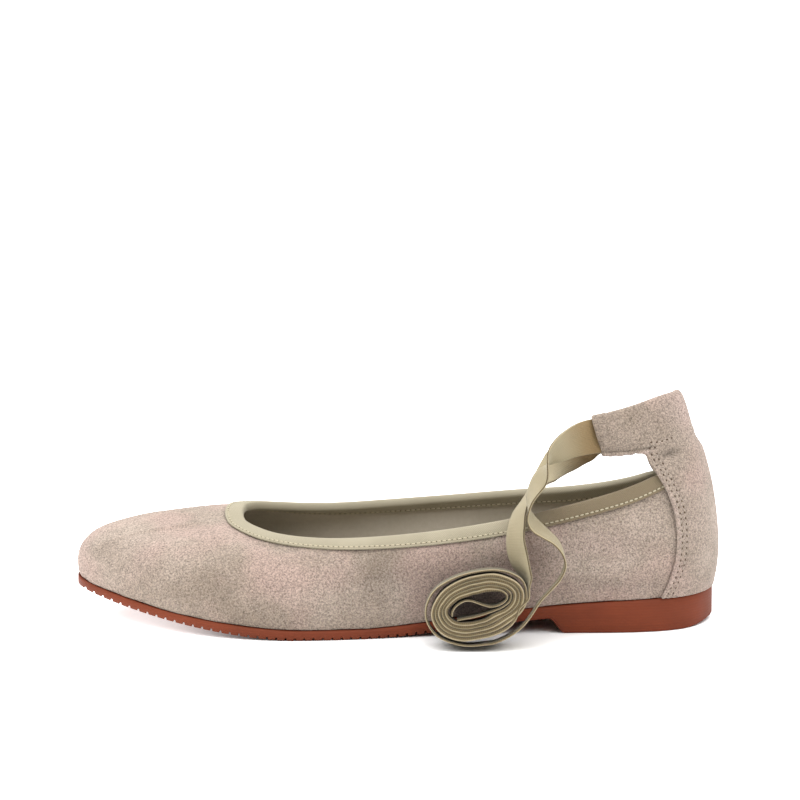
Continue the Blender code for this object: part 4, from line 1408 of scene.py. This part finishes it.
            # Along the strip's front edges: a painted highlight on the rolled ridge and painted shade right
            # at the edge.
            for rim in rims:
                span = line_length(rim)
                edge_line = through(np.arange(0.0, span[-1], 0.0006), span, rim)
                off = np.linalg.norm(chunk[:, None] - edge_line[None], axis=2).min(1)
                value += 0.30 * np.exp(-((off - 0.0009) / 0.0006)**2) - 0.4 * np.exp(-(off / 0.0005)**2)
            worn_and_shaded[start:start + CHUNK] = value
        return np.clip(worn_and_shaded, -1.0, 1.0)

    def stitch_lines(self) -> list[np.ndarray]:
        """Lines of the double row behind each front edge and of the row along the casing's seam."""
        lines = []
        for flip in (False, True):
            rows = self.outer_rows[:, ::-1] if flip else self.outer_rows
            for inset in self.insets:
                line = []
                for row in rows:
                    far = line_length(row)
                    line.append(on_line(inset, far, row))
                ahead = unit(line[-1] - line[-3])
                line = np.array(line + [line[-1] + ahead * 0.0022, line[-1] + ahead * 0.0045])
                far = line_length(line)
                at = np.arange(0.0012, far[-1], 0.0004)
                lines.append(through(at, far, line))
        inner = self.seam_line[self.first:self.end + 1]
        far = line_length(inner)
        outside = inner + self.face[self.first:self.end + 1] * 0.003
        for start, end in ((0.0016, 0.0135), (far[-1] - 0.0135, far[-1] - 0.0016)):
            lines.append(through(np.arange(start, end, 0.0004), far, outside))
        return lines


@dataclass
class Outsole:
    """Rubber unit: notched forefoot edge with toe spring, arched waist, and a low heel with its breast."""

    last: LastForm
    rubber: Rubber
    breast_x: float = 0.0580
    breast_length: float = 0.0065
    bevel: float = 0.0022
    bevel_length: float = 0.0140
    notch_pitch: float = 0.0036
    notch_width: float = 0.0008
    notch_depth: float = 0.0012
    notch_end: float = 0.0150
    notch_reach: float = 0.0060

    def underside(self, x: np.ndarray) -> np.ndarray:
        """Height of the tread over the floor."""
        last = self.last
        breast = smooth_step((x - self.breast_x) / self.breast_length)
        bevel = np.clip((x - last.heel_back_x + self.bevel_length) / self.bevel_length, 0, 1)
        return last.waist(x) * (1 - breast) + self.bevel * bevel**2

    def notch(self, x: np.ndarray) -> np.ndarray:
        """How much of a notch is cut at places along the sole."""
        toe = self.last.heel_back_x - self.last.sole_length + self.notch_pitch
        count = int((self.notch_end - toe) / self.notch_pitch) + 1
        place = (x - toe) / self.notch_pitch
        near = np.clip(np.rint(place), 0, count - 1)
        off = (x - toe - near * self.notch_pitch) / self.notch_width
        return smooth_step((off + 0.75) / 0.55) * smooth_step((0.35 - off) / 0.25)

    def build(self) -> list[bpy.types.Object]:
        """Builds and dresses the unit.

        Returns:
            The piece, in a list.
        """
        last, growth = self.last, self.last.sole_margin
        low, high = last.reach(growth)
        turn = np.linspace(0.012, 1 - 0.012, 260) * math.pi
        base = (low + high) / 2 - (high - low) / 2 * np.cos(turn)
        toe = last.heel_back_x - last.sole_length + self.notch_pitch
        cuts = np.arange(toe, self.notch_end, self.notch_pitch)
        cuts = (cuts[:, None] + self.notch_width * np.array([-0.8, -0.5, -0.25, 0.05, 0.2, 0.4])).ravel()
        breast = self.breast_x + self.breast_length * np.linspace(-0.05, 1.05, 16)
        x = np.unique(np.round(np.concatenate([base, cuts[cuts > low + 0.0003], breast]), 6))
        x = x[np.concatenate([[True], np.diff(x) > 0.00008])]
        outer, inner = last.edges(x, growth)
        top, under = last.top(x), self.underside(x)
        cut = self.notch(x) * self.notch_depth
        half = (inner - outer) / 2
        soft, reach = np.minimum(0.0007, half * 0.3), np.minimum(self.notch_reach, half * 0.7)
        bulge = np.minimum(0.00025, half * 0.05)
        rows = []
        for s in (0.0, 0.35, 0.7, 0.9):
            rows.append((outer + half * (1 - s), top))
        tall = top - under
        rim = np.minimum(0.0005, tall * 0.15)
        rows.append((outer + rim, top))
        rows.append((outer + rim * 0.3, top - rim * 0.3))
        rows.append((outer - bulge * 0.4, top - rim))
        for share in (0.3, 0.5, 0.7):
            rows.append((outer - bulge * math.sin(math.pi * share), top - tall * share))
        raised = under + cut
        rows.append((outer, np.minimum(raised + soft, top - tall * 0.25)))
        rows.append((outer + soft * 0.3, np.minimum(raised + soft * 0.3, top - tall * 0.2)))
        rows.append((outer + soft, raised))
        rows.append((outer + soft + (reach - soft) * 0.5, under + cut * 0.7))
        rows.append((outer + reach, under))
        rows.append((outer + half * 0.8, under))
        rings = Bench.both_sides(x, outer + inner, rows)
        chart = chart_of(x, np.linspace(0, 1, len(rings)))
        piece = Bench.close(Bench.grid("outsole_rubber", rings, chart), fill=True)
        bpy.ops.object.shade_smooth_by_angle(angle=math.radians(38))
        piece.data.materials.append(self.rubber.material())
        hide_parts("outsole")
        return [piece]


@dataclass
class Insole:
    """Sock lining on the board, inside the shoe."""

    last: LastForm
    leather: Smooth
    thickness: float = 0.0022

    def build(self) -> list[bpy.types.Object]:
        """Builds and dresses the insole.

        Returns:
            The piece, in a list.
        """
        last, growth = self.last, -(self.last.upper_wall * 1.15 + 2 * self.last.fit_gap)
        low, high = last.reach(growth)
        turn = np.linspace(0.015, 1 - 0.015, 160) * math.pi
        x = (low + high) / 2 - (high - low) / 2 * np.cos(turn)
        outer, inner = last.edges(x, growth)
        shelf = last.top(x) + 2.5 * last.fit_gap + last.upper_wall
        half = (inner - outer) / 2
        rows = []
        for s in (0.04, 0.3, 0.6, 0.85, 0.96, 1.0):
            rows.append((outer + half * (1 - s), shelf + self.thickness * (1.0 - 0.2 * (s > 0.99))))
        rows.append((outer, shelf + 0.0002))
        rows.append((outer + np.minimum(0.0005, half * 0.2), shelf))
        rows.append((outer + half * 0.6, shelf))
        rings = Bench.both_sides(x, outer + inner, rows)
        chart = chart_of(x, np.linspace(0, 1, len(rings)))
        piece = Bench.close(Bench.grid("insole_sock", rings, chart), fill=True)
        piece.data.materials.append(self.leather.material())
        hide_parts("insole")
        return [piece]


@dataclass
class Ribbon:
    """The elastic ribbon: through the casing, down over the collar at both ends, and wound in one roll."""

    last: LastForm
    panel: HeelPanel
    woven: Woven
    width: float = 0.0138
    thin: float = 0.0008
    view: PhotoView = field(default_factory=PhotoView)
    roll_x: float = 0.0302
    roll_y: float = -0.0460
    roll_z: float = 0.01668
    roll_lean: float = 10.0
    recess: float = 0.0022
    step: float = 0.0005

    def on_roll(self, right: np.ndarray, up: np.ndarray) -> np.ndarray:
        """Places in the roll's middle plane, from millimetres to the right of its middle and above it."""
        lean = math.radians(self.roll_lean)
        right, up = np.asarray(right, float) * 0.001, np.asarray(up, float) * 0.001
        return np.stack([self.roll_x + right, self.roll_y + up * math.sin(lean),
                         self.roll_z + up * math.cos(lean)], -1)

    def axis(self) -> np.ndarray:
        """The way that the roll's open face looks."""
        lean = math.radians(self.roll_lean)
        return np.array([0.0, -math.cos(lean), math.sin(lean)])

    def wound(self, turn: np.ndarray, first: float) -> tuple[np.ndarray, np.ndarray]:
        """The radius of one end's turns and the room that each has, in millimetres.

        Args:
            turn: Degrees wound so far, from the right by the bottom.
            first: How many layers in from the pack's outside the end lies in its first turn.

        Returns:
            Radii of the ribbon's middle, and the space from one layer to the next.
        """
        table = np.array(ROLL_SHAPE, float)[1:-1]
        known, radii, rooms = [], [], []
        for round_number in range(4):
            share = (first + 2 * round_number) / 5
            radius = table[:, 2] + (table[:, 3] - table[:, 2]) * share
            if share < 0:
                radius = table[:, 1] - self.thin * 500
            known.append(table[:, 0] + 360 * round_number)
            radii.append(radius)
            rooms.append((table[:, 2] - table[:, 3]) / 5)
        known, radii, rooms = np.concatenate(known), np.concatenate(radii), np.concatenate(rooms)
        return through(turn, known, radii), through(turn, known, rooms)

    def turns(self, start: float, end: float, first: float,
              lead: tuple, core: tuple) -> tuple[np.ndarray, np.ndarray]:
        """Route of one end through the roll and its thickness there.

        Args:
            start: Degrees at which it joins the roll.
            end: Degrees at which it leaves the pack for the core.
            first: How many layers in it lies in its first turn.
            lead: Places before the roll, in the photo's frame.
            core: Places within the core, in the photo's frame.

        Returns:
            The route from the outside to the ribbon's end, and the thickness along it.
        """
        turn = np.arange(start, end, 4.0)
        out, room = self.wound(turn, first)
        way = np.radians(turn)
        axis = self.axis()
        deep = -axis * (self.recess * smooth_step(turn / end))[:, None]
        line = self.on_roll(out * np.cos(way), -out * np.sin(way)) + deep
        into = smooth_step((turn - (330.0 if first < 0 else 10.0)) / 50.0)
        into = into * smooth_step((end - 8.0 - turn) / 40.0)
        thick = self.thin * (1 - into) + room * 0.00094 * into
        inside = self.on_roll(*self.pixels(core)) - axis * self.recess
        route = np.concatenate([self.on_roll(*self.pixels(lead)), line, inside])
        return route, np.concatenate([np.full(len(lead), self.thin), thick, np.full(len(core), self.thin)])

    @staticmethod
    def pixels(spots: tuple[tuple[float, float], ...]) -> tuple[np.ndarray, np.ndarray]:
        """Millimetres right of the roll's middle and above it."""
        table = np.array(spots, float)
        return (table[:, 0] - 478.0) * 0.3797, (605.8 - table[:, 1]) * 0.3797

    def tail(self, table: tuple[tuple[float, ...], ...]) -> tuple[np.ndarray, np.ndarray]:
        """Route of a free run and the way that the width points along it, rounded in shares of the shoe."""
        rows, last = np.array(table, float), self.last
        x, y, z = self.view.places(rows[:, 0], rows[:, 1], rows[:, 2] / 1000).T
        shares = ((last.heel_back_x - x) / last.sole_length, y / last.ball_width, z / last.instep_height)
        line = last.at(*(np.round(share, 3) for share in shares))
        return line, unit(np.round(self.view.ways(rows[:, 3:6]), 2))

    def route(self) -> tuple[np.ndarray, np.ndarray, np.ndarray]:
        """The whole way of the ribbon: places, width directions and thicknesses."""
        axis = self.axis()
        seam, up, face, tall = self.panel.frame()
        middle = (seam + up * (tall / 2) - face * self.panel.casing_thickness / 2)[::2]
        up = up[::2]
        outer, outer_across = self.tail(NEAR_TAIL)
        inner, inner_across = self.tail(FAR_TAIL)
        near, near_thick = self.turns(84.0, 1073.0, -0.5, NEAR_LEAD, NEAR_CORE)
        far, far_thick = self.turns(8.0, 1069.0, 0.5, FAR_LEAD, FAR_CORE)
        line = np.concatenate([near[::-1], outer[::-1], middle, inner, far])
        across = np.concatenate([np.tile(axis, (len(near), 1)), outer_across[::-1], up, inner_across,
                                 np.tile(-axis, (len(far), 1))])
        free = np.full(len(outer) + len(middle) + len(inner), self.thin)
        thick = np.concatenate([near_thick[::-1], free, far_thick])
        known = line_length(line)
        mouths = known[len(near) + len(outer)], known[len(near) + len(outer) + len(middle)]
        self.middle_at, self.mouth_at = sum(mouths) / 2, (mouths[1] - mouths[0]) / 2
        keep = np.concatenate([[True], np.diff(known) > 0.0002])
        line, across, thick, known = line[keep], across[keep], thick[keep], known[keep]
        at = np.arange(0.0, known[-1], self.step)
        line, across, thick = through(at, known, line), through(at, known, across), through(at, known, thick)
        for _ in range(4):
            line[1:-1] = (line[:-2] + 2 * line[1:-1] + line[2:]) / 4
        for _ in range(12):
            across[1:-1] = (across[:-2] + 2 * across[1:-1] + across[2:]) / 4
        return line, unit(across), thick

    def build(self) -> list[bpy.types.Object]:
        """Returns:
            The piece, in a list.
        """
        line, across, thick = self.route()
        along = unit(np.gradient(line, axis=0))
        flat = unit(np.cross(along, across))
        half = self.width / 2
        face = [(-half + 0.0002 + (2 * half - 0.0004) * k / 5, 1.0) for k in range(6)]
        side = [(half - 0.00004, 0.8), (half, 0.3), (half, -0.3), (half - 0.00004, -0.8)]
        ring = face + side + [(-v, -h) for v, h in face] + [(-v, -h) for v, h in side]
        ring.append(ring[0])
        rings = np.stack([line + across * v + flat * (thick * h / 2)[:, None] for v, h in ring])
        far = line_length(line)
        chart = chart_of(far, np.arange(len(ring)) / (len(ring) - 1.0))
        piece = Bench.close(Bench.grid("ankle_ribbon", rings, chart), fill=True)
        woven = replace(self.woven, middle=float(self.middle_at), mouth=float(self.mouth_at),
                        wound=float(far[-1] / 2 - 0.25), rolled_from=float(far[-1] / 2 - 0.36))
        piece.data.materials.append(woven.material())
        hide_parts("tape", "tape_roll")
        self.length = float(far[-1])
        return [piece]


@dataclass
class Studio:
    """Camera, floor and lights."""

    view: PhotoView = field(default_factory=PhotoView)

    def camera(self) -> None:
        """Places the camera at the photo's angle."""
        data = bpy.data.cameras.new("camera")
        data.lens, data.sensor_width, data.sensor_fit = self.view.lens, self.view.sensor, "HORIZONTAL"
        data.clip_start, data.clip_end = 0.05, 100.0
        camera = bpy.data.objects.new("camera", data)
        bpy.context.scene.collection.objects.link(camera)
        tilt = math.radians(self.view.elevation)
        ahead = Vector((0.0, math.cos(tilt), -math.sin(tilt)))
        camera.location = Vector(self.view.aim) - ahead * self.view.distance
        camera.rotation_euler = (math.pi / 2 - tilt, 0.0, 0.0)
        bpy.context.scene.camera = camera

    def floor(self) -> None:
        """Lays the pale floor, which glows by the toe: painted light that clears the floor's shadow there."""
        Bench.only(None)
        bpy.ops.mesh.primitive_plane_add(size=40.0, location=(0.0, 0.0, 0.0))
        floor = bpy.context.active_object
        floor.name = "floor"
        recipe = Recipe("floor_white_toe_glow")
        # Painted light: the floor glows beyond the toe's tip and fades out toward the ball.
        glow = 1.0 - recipe.axes()[0].step(-0.102, -0.046)
        floor.data.materials.append(recipe.finish({
            "Base Color": (0.93, 0.93, 0.93), "Roughness": 0.9, "Specular IOR Level": 0.0,
            "Emission Color": recipe.bright((0.75, 0.75, 0.75), glow), "Emission Strength": 1.0,
        }))

    def light(self, name: str, place: Colour, aim: Colour, size: float, power: float) -> None:
        """Hangs one soft square light.

        Args:
            name: Its name.
            place: Where it hangs.
            aim: What it faces.
            size: Its side.
            power: Its power in watts.
        """
        data = bpy.data.lights.new(name, "AREA")
        data.size, data.energy = size, power
        lamp = bpy.data.objects.new(name, data)
        bpy.context.scene.collection.objects.link(lamp)
        lamp.location = place
        lamp.rotation_euler = (Vector(aim) - Vector(place)).to_track_quat("-Z", "Y").to_euler()

    def build(self) -> None:
        """Sets up the whole studio."""
        self.camera()
        self.floor()
        world = bpy.data.worlds.new("white_room")
        world.use_nodes = True
        world.node_tree.nodes["Background"].inputs["Color"].default_value = (1.0, 1.0, 1.0, 1.0)
        world.node_tree.nodes["Background"].inputs["Strength"].default_value = 0.29
        bpy.context.scene.world = world
        self.light("ceiling", (0.0, 0.3, 3.0), (0.0, 0.3, 0.0), 10.0, 1000.0)
        bpy.context.scene.view_settings.view_transform = "Standard"


def ride_all(pieces: list[bpy.types.Object]) -> None:
    """Lets every piece ride on the shoe's one body."""
    for piece in pieces:
        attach(piece, "root")


def main() -> None:
    """Builds every part of the scene in order."""
    logging.basicConfig(level=logging.INFO, format="%(message)s")
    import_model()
    last = LastForm()
    suede = Suede("rosy_taupe_suede", (0.292, 0.238, 0.196), (0.194, 0.153, 0.119), (0.292, 0.213, 0.180))
    lining = Smooth("grey_taupe_lining", (0.35, 0.31, 0.25), (0.31, 0.275, 0.217))
    sock = Smooth("grey_taupe_sock", (0.35, 0.31, 0.25), (0.31, 0.275, 0.217))
    rubber = Rubber("terracotta_rubber", (0.152, 0.0285, 0.0080), (0.112, 0.0210, 0.0060))
    binding_weave = Woven(
        "khaki_binding", (0.276, 0.245, 0.174), (0.228, 0.200, 0.138), Weave.DIAGONAL, 0.0009,
        shade=(0.141, 0.109, 0.066),
    )
    ribbon_weave = Woven(
        "khaki_ribbon", (0.283, 0.240, 0.150), (0.238, 0.198, 0.118), Weave.LENGTHWISE, 0.0006,
        edge=(0.400, 0.325, 0.200), side_shade=(0.122, 0.090, 0.043),
    )
    cream = Thread("cream_thread", (0.36, 0.315, 0.22))
    taupe = Thread("taupe_thread", (0.276, 0.228, 0.186))
    # Painted shade: the colours of the dark spots at needle holes.
    hole = Thread("needle_hole_shade", (0.059, 0.038, 0.026), 0.9)
    prick = Thread("needle_prick_shade", (0.085, 0.068, 0.038), 0.9)
    Studio().build()
    panel = HeelPanel(last, suede, taupe, hole, creases=(
        Crease((0.0995, -0.0195, 0.0688), (0.1126, -0.0170, 0.0722), 0.0017, -0.0011),
        Crease((0.0985, -0.0195, 0.0670), (0.1030, -0.0200, 0.0652), 0.0010, -0.0008),
        Crease((0.0980, -0.0195, 0.0650), (0.1035, -0.0205, 0.0625), 0.0009, 0.0005),
        Crease((0.1050, -0.0200, 0.0640), (0.1085, -0.0210, 0.0540), 0.0020, -0.0006),
        Crease((0.0850, -0.0240, 0.0810), (0.0930, -0.0230, 0.0850), 0.0020, -0.0004),
    ), patches=(
        # Painted light: the casing's back is painted paler where light from behind falls on it.
        Patch((0.1100, -0.0120, 0.0860), (0.012, 0.030, 0.011), 0.45),
        # Painted shade: a dark spot in the dent below the casing's seam.
        Patch((0.1085, -0.0180, 0.0725), (0.009, 0.014, 0.0060), -0.34),
        Patch((0.1130, -0.0120, 0.0450), (0.012, 0.030, 0.022), 0.28),
        Patch((0.0880, -0.0220, 0.0830), (0.012, 0.020, 0.008), 0.15),
        Patch((0.1080, -0.0240, 0.0200), (0.016, 0.020, 0.006), 0.12),
    ))
    ribbon = Ribbon(last, panel, ribbon_weave)
    parts = (
        ("ribbon", ribbon),
        ("outsole", Outsole(last, rubber)),
        ("insole", Insole(last, sock)),
        ("upper", Upper(last, suede, lining, patches=(
            Patch((0.0850, -0.0300, 0.0195), (0.036, 0.020, 0.0050), -0.34),
            Patch((0.0775, -0.0300, 0.0363), (0.026, 0.020, 0.0080), 0.42),
            Patch((-0.0030, -0.0350, 0.0257), (0.030, 0.020, 0.0120), -0.34),
            # Painted shadow: a dark spot on the side behind the roll, where the roll shades the suede.
            Patch((0.0306, -0.0300, 0.0120), (0.013, 0.012, 0.0095), -1.30),
            Patch((-0.1000, -0.0150, 0.0300), (0.022, 0.030, 0.0100), 0.20),
            Patch((-0.0480, -0.0330, 0.0240), (0.010, 0.020, 0.0070), 0.15),
            Patch((-0.0700, -0.0330, 0.0200), (0.014, 0.020, 0.0060), -0.18),
            Patch((0.0500, -0.0330, 0.0330), (0.012, 0.020, 0.0060), 0.15),
        ))),
        ("binding", Binding(last, binding_weave, cream, prick)),
        ("heel panel", panel),
    )
    for name, part in parts:
        pieces = part.build()
        ride_all(pieces)
        faces = sum(len(piece.data.polygons) for piece in pieces)
        LOG.info("%s: %d pieces, %d faces", name, len(pieces), faces)
    LOG.info("ribbon length %.4f m", ribbon.length)


if __name__ == "__main__":
    main()
